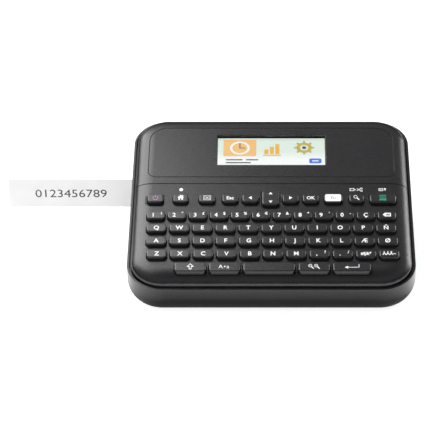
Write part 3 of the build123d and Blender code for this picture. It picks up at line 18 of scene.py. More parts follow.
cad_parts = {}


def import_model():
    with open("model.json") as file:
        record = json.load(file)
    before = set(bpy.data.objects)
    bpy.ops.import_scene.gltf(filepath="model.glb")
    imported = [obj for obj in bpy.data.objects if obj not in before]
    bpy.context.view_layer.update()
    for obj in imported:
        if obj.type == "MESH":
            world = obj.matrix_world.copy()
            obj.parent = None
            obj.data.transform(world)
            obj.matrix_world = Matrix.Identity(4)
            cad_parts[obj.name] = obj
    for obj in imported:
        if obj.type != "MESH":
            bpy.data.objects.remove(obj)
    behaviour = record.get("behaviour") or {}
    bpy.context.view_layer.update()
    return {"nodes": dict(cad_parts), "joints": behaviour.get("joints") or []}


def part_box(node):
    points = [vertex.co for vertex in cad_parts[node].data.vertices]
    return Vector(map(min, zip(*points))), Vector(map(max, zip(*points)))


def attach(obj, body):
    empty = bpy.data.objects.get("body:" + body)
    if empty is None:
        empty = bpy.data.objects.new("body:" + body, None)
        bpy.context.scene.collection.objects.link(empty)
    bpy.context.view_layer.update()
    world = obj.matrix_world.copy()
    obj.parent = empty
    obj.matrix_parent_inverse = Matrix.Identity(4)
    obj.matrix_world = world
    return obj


LOG = logging.getLogger("label_maker")
MM = 0.001
TOUCH = 0.001 * MM      # spans nearer than this are one span
WELD = 0.0001 * MM      # points nearer than this become one point
FLAT = 0.05 * MM        # points within this height lie on one face
WHITE = "#ffffff"
NOISE_LOW, NOISE_HIGH = 0.3, 0.7    # most values of a noise lie between these
Point = tuple[float, float]         # a place or a size on the sheet, mm
Tree = bpy.types.NodeTree
Socket = bpy.types.NodeSocket


# ---------------------------------------------------------------- colour and node helpers
def linear(code: str) -> tuple[float, float, float, float]:
    """Turn an sRGB hex colour into linear RGBA.

    Args:
        code: six hex digits after a hash.

    Returns:
        The linear colour with an alpha of one.
    """
    values = [int(code[k:k + 2], 16) / 255 for k in (1, 3, 5)]
    return (*[v / 12.92 if v <= 0.04045 else ((v + 0.055) / 1.055) ** 2.4 for v in values], 1.0)


def add_node(tree: Tree, kind: str, sockets: dict | None = None,
             stops: list[tuple[float, object]] | None = None, **settings: object) -> bpy.types.Node:
    """Add a shader node with its settings and links.

    Args:
        tree: the node tree that takes the node.
        kind: the node's type name.
        sockets: input name or number to a value, or to an output socket that is linked to it.
        stops: for a colour ramp, pairs of place and colour, a hex code or a grey level.
        settings: attributes of the node.

    Returns:
        The new node.
    """
    node = tree.nodes.new(kind)
    for name, value in settings.items():
        setattr(node, name, value)
    for name, value in (sockets or {}).items():
        if isinstance(value, Socket):
            tree.links.new(value, node.inputs[name])
        else:
            node.inputs[name].default_value = value
    if stops:
        elements = node.color_ramp.elements
        while len(elements) < len(stops):
            elements.new(1.0)
        for element, (place, colour) in zip(elements, stops):
            element.position = place
            element.color = linear(colour) if isinstance(colour, str) else (colour, colour, colour, 1.0)
    return node


def fresh_tree(owner: bpy.types.Material | bpy.types.World) -> Tree:
    """Switch on the nodes of a material or the world and clear them.

    Args:
        owner: the material or the world.

    Returns:
        Its empty node tree.
    """
    owner.use_nodes = True
    owner.node_tree.nodes.clear()
    return owner.node_tree


def straight_rays(tree: Tree) -> Socket:
    """Tell the rays that come from the eye, also through glass, from all the others.

    Args:
        tree: the node tree.

    Returns:
        An output that is one for those rays and zero for the rest.
    """
    path = add_node(tree, "ShaderNodeLightPath").outputs
    return add_node(tree, "ShaderNodeMath", {0: path["Is Camera Ray"], 1: path["Is Transmission Ray"]},
                    operation="MAXIMUM").outputs[0]


# ---------------------------------------------------------------- finishes
@dataclass(frozen=True)
class Finish:
    """A solid finish: one colour with fine grain, soft mottle and softly broken edges."""

    name: str
    colour: str
    pale: str               # colour where the surface is a little lighter
    roughness: float
    roughness_change: float = 0.06
    metallic: float = 0.0
    ior: float = 1.5
    grain_mm: float = 0.8   # distance between grains
    grain_depth_mm: float = 0.01
    mottle_mm: float = 14.0
    coat: float = 0.0
    specular: float = 0.5
    edge_mm: float = 0.0    # radius at which the light rounds the sharp edges

    def build(self) -> bpy.types.Material:
        """Make the material.

        Returns:
            The new material.
        """
        material = bpy.data.materials.new(self.name)
        tree = fresh_tree(material)
        place = add_node(tree, "ShaderNodeTexCoord").outputs["Object"]
        add_node(tree, "ShaderNodeOutputMaterial", {"Surface": self.shader(tree, place)})
        return material

    def base(self, tree: Tree, place: Socket) -> Socket:
        """Make the colour of the surface.

        Args:
            tree: the node tree.
            place: object coordinates in metres.

        Returns:
            A colour output.
        """
        mottle = add_node(tree, "ShaderNodeTexNoise", {"Vector": place, "Scale": 1 / (self.mottle_mm * MM),
                                                       "Detail": 3.0}).outputs["Fac"]
        return add_node(tree, "ShaderNodeValToRGB", {"Fac": mottle},
                        [(NOISE_LOW, self.colour), (NOISE_HIGH, self.pale)]).outputs["Color"]

    def relief(self, tree: Tree, place: Socket) -> Socket:
        """Make the height field of the surface.

        Args:
            tree: the node tree.
            place: object coordinates in metres.

        Returns:
            A height output, from zero to one.
        """
        return add_node(tree, "ShaderNodeTexNoise", {"Vector": place, "Scale": 1 / (self.grain_mm * MM),
                                                     "Detail": 2.0, "Roughness": 0.6}).outputs["Fac"]

    def shader(self, tree: Tree, place: Socket) -> Socket:
        """Make the whole shader.

        Args:
            tree: the node tree.
            place: object coordinates in metres.

        Returns:
            The shader output.
        """
        height = self.relief(tree, place)
        sockets = {"Height": height, "Distance": self.grain_depth_mm * MM, "Strength": 1.0}
        if self.edge_mm:
            sockets["Normal"] = add_node(tree, "ShaderNodeBevel", {"Radius": self.edge_mm * MM}, samples=6).outputs[0]
        bump = add_node(tree, "ShaderNodeBump", sockets).outputs["Normal"]
        low, high = self.roughness - self.roughness_change, self.roughness + self.roughness_change
        rough = add_node(tree, "ShaderNodeValToRGB", {"Fac": height},
                         [(NOISE_LOW, low), (NOISE_HIGH, high)]).outputs["Color"]
        return add_node(tree, "ShaderNodeBsdfPrincipled", {
            "Base Color": self.base(tree, place), "Roughness": rough, "Metallic": self.metallic, "IOR": self.ior,
            "Coat Weight": self.coat, "Specular IOR Level": self.specular, "Normal": bump}).outputs["BSDF"]


@dataclass(frozen=True)
class PadInk(Finish):
    """Pad-printed ink: a matt film that stands out from the glossier plastic under it."""

    roughness: float = 0.55
    grain_mm: float = 0.4
    grain_depth_mm: float = 0.003


@dataclass(frozen=True)
class BrushedMetal(Finish):
    """A metal whose rolling or turning marks run along one axis."""

    metallic: float = 1.0
    along: tuple[float, float, float] = (0.04, 1.0, 1.0)   # stretch of the marks along x, y and z

    def relief(self, tree: Tree, place: Socket) -> Socket:
        """Make long fine scratches.

        Args:
            tree: the node tree.
            place: object coordinates in metres.

        Returns:
            A height output.
        """
        drawn = add_node(tree, "ShaderNodeMapping", {"Vector": place, "Scale": self.along}).outputs["Vector"]
        return add_node(tree, "ShaderNodeTexNoise", {"Vector": drawn, "Scale": 1 / (self.grain_mm * MM),
                                                     "Detail": 3.0}).outputs["Fac"]


@dataclass(frozen=True)
class BandedSleeve(Finish):
    """A shrink sleeve whose colour changes once along the y axis."""

    second: str = "#d8d8d4"
    border_y: float = 0.0   # the second colour lies behind it

    def base(self, tree: Tree, place: Socket) -> Socket:
        """Make the two bands.

        Args:
            tree: the node tree.
            place: object coordinates in metres.

        Returns:
            A colour output.
        """
        y = add_node(tree, "ShaderNodeSeparateXYZ", {"Vector": place}).outputs["Y"]
        side = add_node(tree, "ShaderNodeMath", {0: y, 1: self.border_y}, operation="GREATER_THAN").outputs[0]
        return add_node(tree, "ShaderNodeMix", {"Factor": side, "A": linear(self.colour), "B": linear(self.second)},
                        data_type="RGBA").outputs[2]


@dataclass(frozen=True)
class ClearAcrylic(Finish):
    """A clear cast sheet that the light passes straight through."""

    def shader(self, tree: Tree, place: Socket) -> Socket:
        """Make a clear sheet with a thin gloss.

        Args:
            tree: the node tree.
            place: object coordinates in metres.

        Returns:
            The shader output.
        """
        height = self.relief(tree, place)
        rough = add_node(tree, "ShaderNodeValToRGB", {"Fac": height},
                         [(NOISE_LOW, self.roughness), (NOISE_HIGH, self.roughness + self.roughness_change)])
        return add_node(tree, "ShaderNodeBsdfPrincipled", {
            "Base Color": linear(self.colour), "Roughness": rough.outputs["Color"], "IOR": self.ior,
            "Transmission Weight": 1.0}).outputs["BSDF"]


@dataclass(frozen=True)
class Backlit(Finish):
    """A lit area of the screen, with the faint grid of its cells."""

    glow: float = 0.8
    cell_mm: float = 0.3    # pitch of the cells; a finer one wouldn't show
    unlit: str = "#101010"

    def base(self, tree: Tree, place: Socket) -> Socket:
        """Make the grid of cells.

        Args:
            tree: the node tree.
            place: object coordinates in metres.

        Returns:
            A colour output.
        """
        cells = add_node(tree, "ShaderNodeTexVoronoi", {
            "Vector": place, "Scale": 1 / (self.cell_mm * MM), "Randomness": 0.0}).outputs["Distance"]
        return add_node(tree, "ShaderNodeValToRGB", {"Fac": cells},
                        [(0.2, self.pale), (0.9, self.colour)]).outputs["Color"]

    def shader(self, tree: Tree, place: Socket) -> Socket:
        """Make a surface that gives its own light.

        Args:
            tree: the node tree.
            place: object coordinates in metres.

        Returns:
            The shader output.
        """
        return add_node(tree, "ShaderNodeBsdfPrincipled", {
            "Base Color": linear(self.unlit), "Roughness": self.roughness, "Emission Color": self.base(tree, place),
            "Emission Strength": self.glow}).outputs["BSDF"]


@dataclass(frozen=True)
class GradedBacklit(Backlit):
    """A lit area that goes from one colour to another up the slope."""

    top: str = "#dfeee4"
    start_y: float = 0.0
    end_y: float = 1.0

    def base(self, tree: Tree, place: Socket) -> Socket:
        """Make the graded colour.

        Args:
            tree: the node tree.
            place: object coordinates in metres.

        Returns:
            A colour output.
        """
        y = add_node(tree, "ShaderNodeSeparateXYZ", {"Vector": place}).outputs["Y"]
        share = add_node(tree, "ShaderNodeMapRange", {"Value": y, "From Min": self.start_y,
                                                      "From Max": self.end_y}).outputs["Result"]
        return add_node(tree, "ShaderNodeValToRGB", {"Fac": share},
                        [(0.25, self.colour), (0.55, self.top)]).outputs["Color"]


class Finishes:
    """The finishes of the label maker, each made once."""

    # ABS in charcoal, moulded against a spark-eroded tool: an even matt grain that breaks up the highlights. The real
    # grain is about 0.2 mm and is drawn at 0.9 mm, because a finer one doesn't show.
    casing = Finish("black_abs_spark_grain", "#161618", "#1b1b1d", 0.32, grain_mm=0.9, grain_depth_mm=0.07,
                    edge_mm=0.4)
    # The same ABS from a finer tool: the screen panel is smoother and a shade lighter.
    panel = Finish("black_abs_fine_grain", "#18181a", "#1d1d1f", 0.3, grain_mm=0.6, grain_depth_mm=0.012,
                   edge_mm=0.5)
    # Key caps moulded in PBT: dense and satin, with a little shine on the rounded edges.
    key = Finish("satin_pbt_caps", "#18181a", "#1d1d1f", 0.3, specular=0.6, grain_mm=0.5, grain_depth_mm=0.006,
                 edge_mm=0.5)
    # Pad-printed inks: flat colour without a highlight.
    ink_white = PadInk("white_pad_ink", "#f4f4f2", WHITE)
    ink_pink = PadInk("pink_pad_ink", "#cc6fae", "#d57db7")
    ink_green = PadInk("green_pad_ink", "#15a074", "#1dac80")
    ink_grey = PadInk("grey_pad_ink", "#6a6b6e", "#747578")
    # Thermal transfer print: a thin black film, duller than the tape round it.
    ink_black = Finish("black_thermal_print", "#1c1c1e", "#242426", 0.6, grain_mm=0.3, grain_depth_mm=0.002)
    # Cast acrylic: clear, with a sharp gloss.
    window = ClearAcrylic("clear_cast_acrylic", "#f6f9f8", WHITE, 0.02, 0.02, ior=1.49)
    # The screen's bezel, moulded in black ABS: nearly black, its own black deepened into painted shade round the
    # picture, so that the picture seems to float.
    screen_frame = Finish("black_screen_bezel", "#08080a", "#0d0d0f", 0.3, grain_mm=0.5, grain_depth_mm=0.002)
    # ABS from a plain tool, inside the casing: dark grey with a dull, even shine.
    inner = Finish("dark_grey_abs_plain", "#35363a", "#3c3d41", 0.52, grain_mm=1.1, grain_depth_mm=0.01)
    # Moulded polystyrene: mid grey, harder and glossier than the casing.
    cassette = Finish("grey_polystyrene", "#5f6268", "#686b71", 0.38, grain_mm=1.4, grain_depth_mm=0.006)
    # Zinc-plated sheet: cool grey, with the faint lines of the rolling mill.
    steel = BrushedMetal("zinc_plated_steel", "#a9abad", "#bfc1c3", 0.34, 0.08, grain_mm=0.25, grain_depth_mm=0.004)
    # Ground tool steel: bright, with fine upright marks.
    blade = BrushedMetal("ground_blade_steel", "#c3c5c8", "#d5d7d9", 0.2, 0.05, grain_mm=0.2, grain_depth_mm=0.003,
                         along=(1.0, 1.0, 0.05))
    # Deep-drawn steel can: grey, with soft upright streaks in its shine.
    motor = BrushedMetal("drawn_motor_can", "#8f9193", "#a5a7a9", 0.3, 0.07, grain_mm=0.3, grain_depth_mm=0.003,
                         along=(1.0, 1.0, 0.06))
    # Turned brass: warm yellow, with the tool's fine lines.
    brass = BrushedMetal("turned_brass", "#b8923f", "#cda855", 0.28, 0.06, grain_mm=0.2, grain_depth_mm=0.003)
    # Acetal in its natural white: milky, with a waxy sheen.
    acetal = Finish("natural_acetal", "#e4e2d8", "#efede5", 0.4, grain_mm=0.9, grain_depth_mm=0.004)
    # Ground nitrile rubber: black and dull, without a clear highlight.
    roller = Finish("ground_nitrile_rubber", "#232325", "#2b2b2d", 0.75, grain_mm=0.5, grain_depth_mm=0.02)
    # Moulded silicone: grey, soft and nearly matt.
    silicone = Finish("grey_silicone_mat", "#8b8c8d", "#969798", 0.6, grain_mm=0.9, grain_depth_mm=0.01)
    # Moulded rubber: black, with almost no shine.
    foot = Finish("black_foot_rubber", "#1b1b1c", "#242425", 0.85, grain_mm=0.6, grain_depth_mm=0.03)
    # Glazed ceramic: ivory and glossy.
    ceramic = Finish("glazed_heater_ceramic", "#dcdcd2", "#e8e8e0", 0.25, grain_mm=1.2, grain_depth_mm=0.003)
    # Extruded aluminium: pale grey, with die lines along the bar.
    aluminium = BrushedMetal("extruded_aluminium", "#c4c6c8", "#d2d4d6", 0.32, 0.06, grain_mm=0.3,
                             grain_depth_mm=0.004, along=(1.0, 1.0, 0.05))
    # Polyester tape under a clear laminate: white, smooth and softly glossy.
    label = Finish("laminated_label_tape", "#ececec", "#f1f1f1", 0.42, grain_mm=2.0, grain_depth_mm=0.004, coat=0.2)
    # Ink film wound on a spool: deep black and shiny.
    ribbon = Finish("black_ribbon_film", "#0c0c0e", "#161618", 0.22, grain_mm=0.6, grain_depth_mm=0.006)
    # Solder mask on glass fibre: deep green and glossy, a little uneven over the tracks.
    board = Finish("green_solder_mask", "#0f4a2c", "#155937", 0.3, grain_mm=1.6, grain_depth_mm=0.02)
    # Moulded nylon: black and half matt.
    jack = Finish("black_nylon", "#121214", "#1a1a1c", 0.42, grain_mm=0.8, grain_depth_mm=0.004)
    # Nickel-plated spring steel: bright, a little warmer than zinc.
    contact = BrushedMetal("nickel_plated_spring", "#c9c6bd", "#dad7ce", 0.22, 0.05, grain_mm=0.3,
                           grain_depth_mm=0.002)
    # Metallised film: silvery and even, without marks.
    plate = Finish("silver_rating_sticker", "#a7a9ab", "#b2b4b6", 0.35, grain_mm=1.2, grain_depth_mm=0.003)

    def __init__(self) -> None:
        """Start with nothing made."""
        self.made: dict[str, bpy.types.Material] = {}

    def get(self, finish: Finish) -> bpy.types.Material:
        """Give the material of a finish, made on first use.

        Args:
            finish: the finish.

        Returns:
            Its material.
        """
        if finish.name not in self.made:
            self.made[finish.name] = finish.build()
        return self.made[finish.name]


# ---------------------------------------------------------------- the sloping sheet and what is printed on it
class Deck:
    """The frame of the keyboard's slope: x to the right, u up the slope, n out of the deck, in metres."""

    def __init__(self, joints: list[dict]) -> None:
        """Read the slope from the way that the keys travel.

        Args:
            joints: the frame's joints.
        """
        press = next(j["axis"] for j in joints if j["name"] == "key_enter_press")
        self.turn = Matrix.Rotation(math.atan2(press[1], -press[2]), 4, "X")
        self.back = self.turn.inverted()

    def sheet(self, x: float, u: float, n: float) -> Matrix:
        """Give the matrix that lays a drawing in millimetres at a place on the slope.

        Args:
            x: place across, metres.
            u: place up the slope, metres.
            n: height above the slope's zero, metres.

        Returns:
            A matrix from millimetres on the sheet to metres in the frame.
        """
        return self.turn @ Matrix.Translation((x, u, n)) @ Matrix.Scale(MM, 4)

    def points(self, node: bpy.types.Object) -> list[Vector]:
        """Give a node's points in this frame.

        Args:
            node: a CAD node.

        Returns:
            Its points as x, u and n.
        """
        return [self.back @ v.co for v in node.data.vertices]


@dataclass
class Cap:
    """The flat top of one key, in the deck's frame, in metres."""

    x: float
    u: float
    n: float
    width: float
    depth: float


def key_caps(deck: Deck, node: bpy.types.Object) -> list[Cap]:
    """Find the key caps in a node, from left to right.

    Args:
        deck: the deck's frame.
        node: a node with one key or a row of keys.

    Returns:
        One cap for each key.
    """
    points = deck.points(node)
    top = max(p.z for p in points)
    spans = sorted((min(points[i].x for i in f.vertices), max(points[i].x for i in f.vertices))
                   for f in node.data.polygons)
    rows = [list(spans[0])]
    for low, high in spans[1:]:
        if low <= rows[-1][1] + TOUCH:
            rows[-1][1] = max(rows[-1][1], high)
        else:
            rows.append([low, high])
    caps = []
    for low, high in rows:
        flat = [p.y for p in points if low <= p.x <= high and p.z > top - FLAT]
        caps.append(Cap((low + high) / 2, (min(flat) + max(flat)) / 2, top, high - low, max(flat) - min(flat)))
    return caps


class Artwork:
    """Flat printed shapes with a real thickness, gathered into one mesh."""

    thickness = 0.03        # of the ink, mm
    capital = 0.729         # height of a capital in the built-in face, as a share of its size
    mitre = 0.4             # sharpest corner of a line, as the cosine of half its turn

    def __init__(self) -> None:
        """Start an empty print."""
        self.mesh = bmesh.new()
        self.place = Matrix.Identity(4)

    def at(self, place: Matrix) -> "Artwork":
        """Lay what comes next at a place.

        Args:
            place: matrix from the sheet in millimetres to the frame.

        Returns:
            This artwork.
        """
        self.place = place
        return self

    def polygon(self, points: list[Point]) -> None:
        """Print a filled outline.

        Args:
            points: its corners, counter-clockwise, in millimetres.
        """
        low = [self.mesh.verts.new(self.place @ Vector((x, y, 0))) for x, y in points]
        high = [self.mesh.verts.new(self.place @ Vector((x, y, self.thickness))) for x, y in points]
        self.mesh.faces.new(high)
        self.mesh.faces.new(low[::-1])
        for k in range(len(points)):
            j = (k + 1) % len(points)
            self.mesh.faces.new((low[k], low[j], high[j], high[k]))

    def band(self, outer: list[Point], inner: list[Point]) -> None:
        """Print the closed band between two outlines.

        Args:
            outer: outer corners, counter-clockwise.
            inner: as many inner corners, in the same order.
        """
        rings = [[self.mesh.verts.new(self.place @ Vector((x, y, z))) for x, y in line]
                 for line in (outer, inner) for z in (0, self.thickness)]
        outer_low, outer_high, inner_low, inner_high = rings
        for k in range(len(outer)):
            j = (k + 1) % len(outer)
            self.mesh.faces.new((outer_high[k], outer_high[j], inner_high[j], inner_high[k]))
            self.mesh.faces.new((inner_low[k], inner_low[j], outer_low[j], outer_low[k]))
            self.mesh.faces.new((outer_low[k], outer_low[j], outer_high[j], outer_high[k]))
            self.mesh.faces.new((inner_high[k], inner_high[j], inner_low[j], inner_low[k]))

    def stroke(self, points: list[Point], width: float) -> None:
        """Print an open line with mitred corners.

        Args:
            points: the line's points.
            width: its width.
        """
        path = [Vector(p) for p in points]
        left, right = [], []
        for k, point in enumerate(path):
            before = (point - path[k - 1]).normalized() if k else None
            after = (path[k + 1] - point).normalized() if k < len(path) - 1 else None
            run = ((before or after) + (after or before)).normalized()
            side = Vector((-run.y, run.x))
            reach = width / 2 / max(self.mitre, run.dot(after or before))
            left.append(tuple(point + side * reach))
            right.append(tuple(point - side * reach))
        self.polygon(right + left[::-1])

    @staticmethod
    def circle(x: float, y: float, radius: float, count: int = 28) -> list[Point]:
        """Give the points of a circle, counter-clockwise."""
        turns = [2 * math.pi * k / count for k in range(count)]
        return [(x + radius * math.cos(a), y + radius * math.sin(a)) for a in turns]

    def disc(self, x: float, y: float, radius: float) -> None:
        """Print a filled circle."""
        self.polygon(self.circle(x, y, radius))

    def ring(self, x: float, y: float, radius: float, width: float) -> None:
        """Print a ring of a width round a radius."""
        self.band(self.circle(x, y, radius + width / 2), self.circle(x, y, radius - width / 2))

    def arc(self, radius: float, start: float, end: float, width: float, count: int = 20) -> None:
        """Print a stretch of a circle about the origin, between two angles in degrees."""
        turns = [math.radians(start + (end - start) * k / count) for k in range(count + 1)]
        self.stroke([(radius * math.cos(a), radius * math.sin(a)) for a in turns], width)

    def box(self, x: float, y: float, width: float, depth: float) -> None:
        """Print a filled rectangle about a middle."""
        self.polygon(self.corners(x, y, width, depth))

    @staticmethod
    def corners(x: float, y: float, width: float, depth: float) -> list[Point]:
        """Give a rectangle's corners, counter-clockwise."""
        a, b = width / 2, depth / 2
        return [(x - a, y - b), (x + a, y - b), (x + a, y + b), (x - a, y + b)]

    def frame(self, x: float, y: float, width: float, depth: float, line: float) -> None:
        """Print a rectangle's outline of a line width."""
        self.band(self.corners(x, y, width + line, depth + line), self.corners(x, y, width - line, depth - line))

    def rounded(self, x: float, y: float, width: float, depth: float, radius: float, count: int = 6) -> None:
        """Print a filled rectangle with round corners.

        Args:
            x: middle across.
            y: middle up.
            width: full width.
            depth: full height.
            radius: corner radius.
            count: steps in each corner.
        """
        points = []
        for turn, (sx, sy) in enumerate(((1, 1), (-1, 1), (-1, -1), (1, -1))):
            cx, cy = x + sx * (width / 2 - radius), y + sy * (depth / 2 - radius)
            for k in range(count + 1):
                angle = math.radians(90 * turn + 90 * k / count)
                points.append((cx + radius * math.cos(angle), cy + radius * math.sin(angle)))
        self.polygon(points)

    def letters(self, text: str, height: float, x: float = 0.0, y: float = 0.0, weight: float = 0.028,
                wide: float = 1.06) -> None:
        """Print letters about a middle point.

        Args:
            text: what is printed.
            height: height of a capital letter.
            x: middle across.
            y: middle of a capital's height.
            weight: how far the strokes are thickened, as a share of the height.
            wide: how much the letters are widened.
        """
        curve = bpy.data.curves.new("letters", "FONT")
        curve.body, curve.size, curve.align_x = text, height / self.capital, "CENTER"
        curve.extrude, curve.offset, curve.resolution_u = self.thickness / 2, weight * height, 3
        holder = bpy.data.objects.new("letters", curve)
        bpy.context.scene.collection.objects.link(holder)
        view = bpy.context.evaluated_depsgraph_get()
        mesh = bpy.data.meshes.new_from_object(holder.evaluated_get(view))
        mesh.transform(Matrix.Translation((x, y - height / 2, self.thickness / 2)) @ Matrix.Diagonal((wide, 1, 1, 1)))
        mesh.transform(self.place)
        self.mesh.from_mesh(mesh)
        bpy.data.objects.remove(holder)
        bpy.data.curves.remove(curve)
        bpy.data.meshes.remove(mesh)

    def piece(self, name: str, body: str, material: bpy.types.Material, slot: str | None = None) -> None:
        """Turn the print into a piece that rides on a body.

        Args:
            name: the piece's name.
            body: the body that carries it.
            material: its finish.
            slot: not used.
        """
        mesh = bpy.data.meshes.new(name)
        bmesh.ops.remove_doubles(self.mesh, verts=self.mesh.verts, dist=WELD)
        bmesh.ops.recalc_face_normals(self.mesh, faces=self.mesh.faces)
        self.mesh.to_mesh(mesh)
        self.mesh.free()
        mesh.materials.append(material)
        item = bpy.data.objects.new(name, mesh)
        bpy.context.scene.collection.objects.link(item)
        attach(item, body)
        LOG.info("%s rides on %s: %d faces", name, body, len(mesh.polygons))


class Icon(Enum):
    """The picture legends of the keyboard; each value names the method that draws it."""

    POWER = "power"
    HOME = "home"
    LAYOUT = "layout"
    LEFT = "left"
    UP_DOWN = "up_down"
    RIGHT = "right"
    SEARCH = "search"
    PRINT = "print_sheet"
    SHIFT = "shift"
    CAPS = "caps"
    ZOOM = "zoom"
    ENTER = "enter"
    ERASE = "erase"
    DOT = "dot"
    LABEL_CUT = "label_cut"
    LABEL_OUT = "label_out"


class IconArtist(Artwork):
    """Draws the picture legends about the sheet's origin, in millimetres."""

    def draw(self, icon: Icon) -> None:
        """Draw one picture."""
        getattr(self, icon.value)()

    def power(self) -> None:
        """A broken ring with a bar in the gap."""
        self.arc(1.75, 125, 415, 0.34)
        self.stroke([(0, 0.5), (0, 2.3)], 0.34)

    def home(self) -> None:
        """A house with a door gap and a chimney."""
        self.polygon([(-2.3, 0.2), (-1.6, 0.2), (0, 1.7), (1.6, 0.2), (2.3, 0.2), (0, 2.5)])
        self.polygon([(-1.6, -1.8), (-0.55, -1.8), (-0.55, -0.5), (0.55, -0.5), (0.55, -1.8), (1.6, -1.8),
                      (1.6, 0.2), (0, 1.6), (-1.6, 0.2)])
        self.box(1.35, 1.7, 0.6, 1.2)

    def layout(self) -> None:
        """A framed page with crossing lines."""
        self.frame(0, 0, 5.0, 3.6, 0.24)
        self.stroke([(-1.1, -1.1), (1.1, 1.1)], 0.26)
        self.stroke([(-1.1, 1.1), (1.1, -1.1)], 0.26)
        self.box(-1.75, 0, 0.24, 2.4)
        self.box(1.75, 0, 0.24, 2.4)

    def left(self) -> None:
        """A triangle that points to the left."""
        self.polygon([(-1.3, 0), (1.0, -1.4), (1.0, 1.4)])

    def right(self) -> None:
        """A triangle that points to the right."""
        self.polygon([(1.3, 0), (-1.0, 1.4), (-1.0, -1.4)])

    def up_down(self) -> None:
        """Two triangles."""
        self.polygon([(-1.3, 2.7), (1.3, 2.7), (0, 4.6)])
        self.polygon([(-1.3, -2.9), (0, -4.8), (1.3, -2.9)])

    def magnifier(self, x: float, size: float) -> None:
        """A ring with a handle."""
        self.ring(x - 0.7 * size, 0.8 * size, 1.2 * size, 0.36)
        self.stroke([(x + 0.15 * size, -0.05 * size), (x + 1.9 * size, -1.9 * size)], 0.75 * size)

    def search(self) -> None:
        """One magnifier."""
        self.magnifier(0, 1.0)

    def zoom(self) -> None:
        """Two magnifiers, one with a bar and one with a cross."""
        for x in (-2.0, 2.0):
            self.magnifier(x, 0.9)
            self.box(x - 0.63, 0.72, 0.9, 0.26)
        self.box(1.37, 0.72, 0.26, 0.9)

    def print_sheet(self) -> None:
        """A sheet with lines on a stand."""
        self.frame(0, 0.5, 4.0, 3.4, 0.36)
        for y in (1.4, 0.5, -0.4):
            self.box(0, y, 2.6, 0.34)
        self.box(0, -1.9, 5.0, 0.6)

    def shift(self) -> None:
        """The outline of a broad arrow."""
        outer = [(-0.95, -2.3), (0.95, -2.3), (0.95, -0.2), (2.5, -0.2), (0, 2.6), (-2.5, -0.2), (-0.95, -0.2)]
        inner = [(-0.5, -1.85), (0.5, -1.85), (0.5, 0.25), (1.45, 0.25), (0, 1.9), (-1.45, 0.25), (-0.5, 0.25)]
        self.band(outer, inner)

    def caps(self) -> None:
        """A capital, a small triangle and a small letter."""
        self.letters("A", 3.1, -2.7, 0.1, weight=0.0)
        self.polygon([(-0.6, 0), (0.5, -0.8), (0.5, 0.8)])
        self.letters("a", 3.1, 2.3, 0.1, weight=0.0)

    def enter(self) -> None:
        """An arrow that turns to the left."""
        self.stroke([(4.8, 1.9), (4.8, -0.6), (-3.0, -0.6)], 0.42)
        self.polygon([(-5.0, -0.6), (-2.7, -1.7), (-2.7, 0.5)])

    def erase(self) -> None:
        """A hollow tag that points to the left, with a slanting stroke in it."""
        self.polygon([(-3.0, 0), (-1.3, -1.5), (-1.3, 1.5)])
        self.frame(0.9, 0, 3.2, 2.3, 0.8)
        self.stroke([(-1.3, -1.5), (-1.3, 1.5)], 0.5)
        self.stroke([(0.3, -0.6), (1.5, 0.6)], 0.35)

    def dot(self) -> None:
        """A plain lamp."""
        self.disc(0, 0, 1.35)

    def label_cut(self) -> None:
        """A label and a pair of scissors."""
        self.frame(-2.9, 0, 2.8, 1.9, 0.4)
        self.box(-0.7, 0, 0.9, 0.5)
        self.stroke([(0.5, 1.0), (3.2, -1.0)], 0.36)
        self.stroke([(0.5, -1.0), (3.2, 1.0)], 0.36)
        self.ring(3.9, 1.1, 0.6, 0.3)
        self.ring(3.9, -1.1, 0.6, 0.3)

    def label_out(self) -> None:
        """A label and a small triangle."""
        self.frame(-0.9, 0, 2.8, 1.9, 0.4)
        self.box(-0.9, 0, 1.8, 0.3)
        self.polygon([(1.2, 1.1), (2.0, -1.1), (2.8, 1.1)])


@dataclass
class Legend:
    """What is printed on one key."""

    main: str = ""
    second: str = ""        # small sign to the upper right
    icon: Icon | None = None
    size: float = 3.3       # height of a capital, mm


def plain_row(letters: str) -> list[Legend]:
    """One legend for each letter."""
    return [Legend(c) for c in letters]


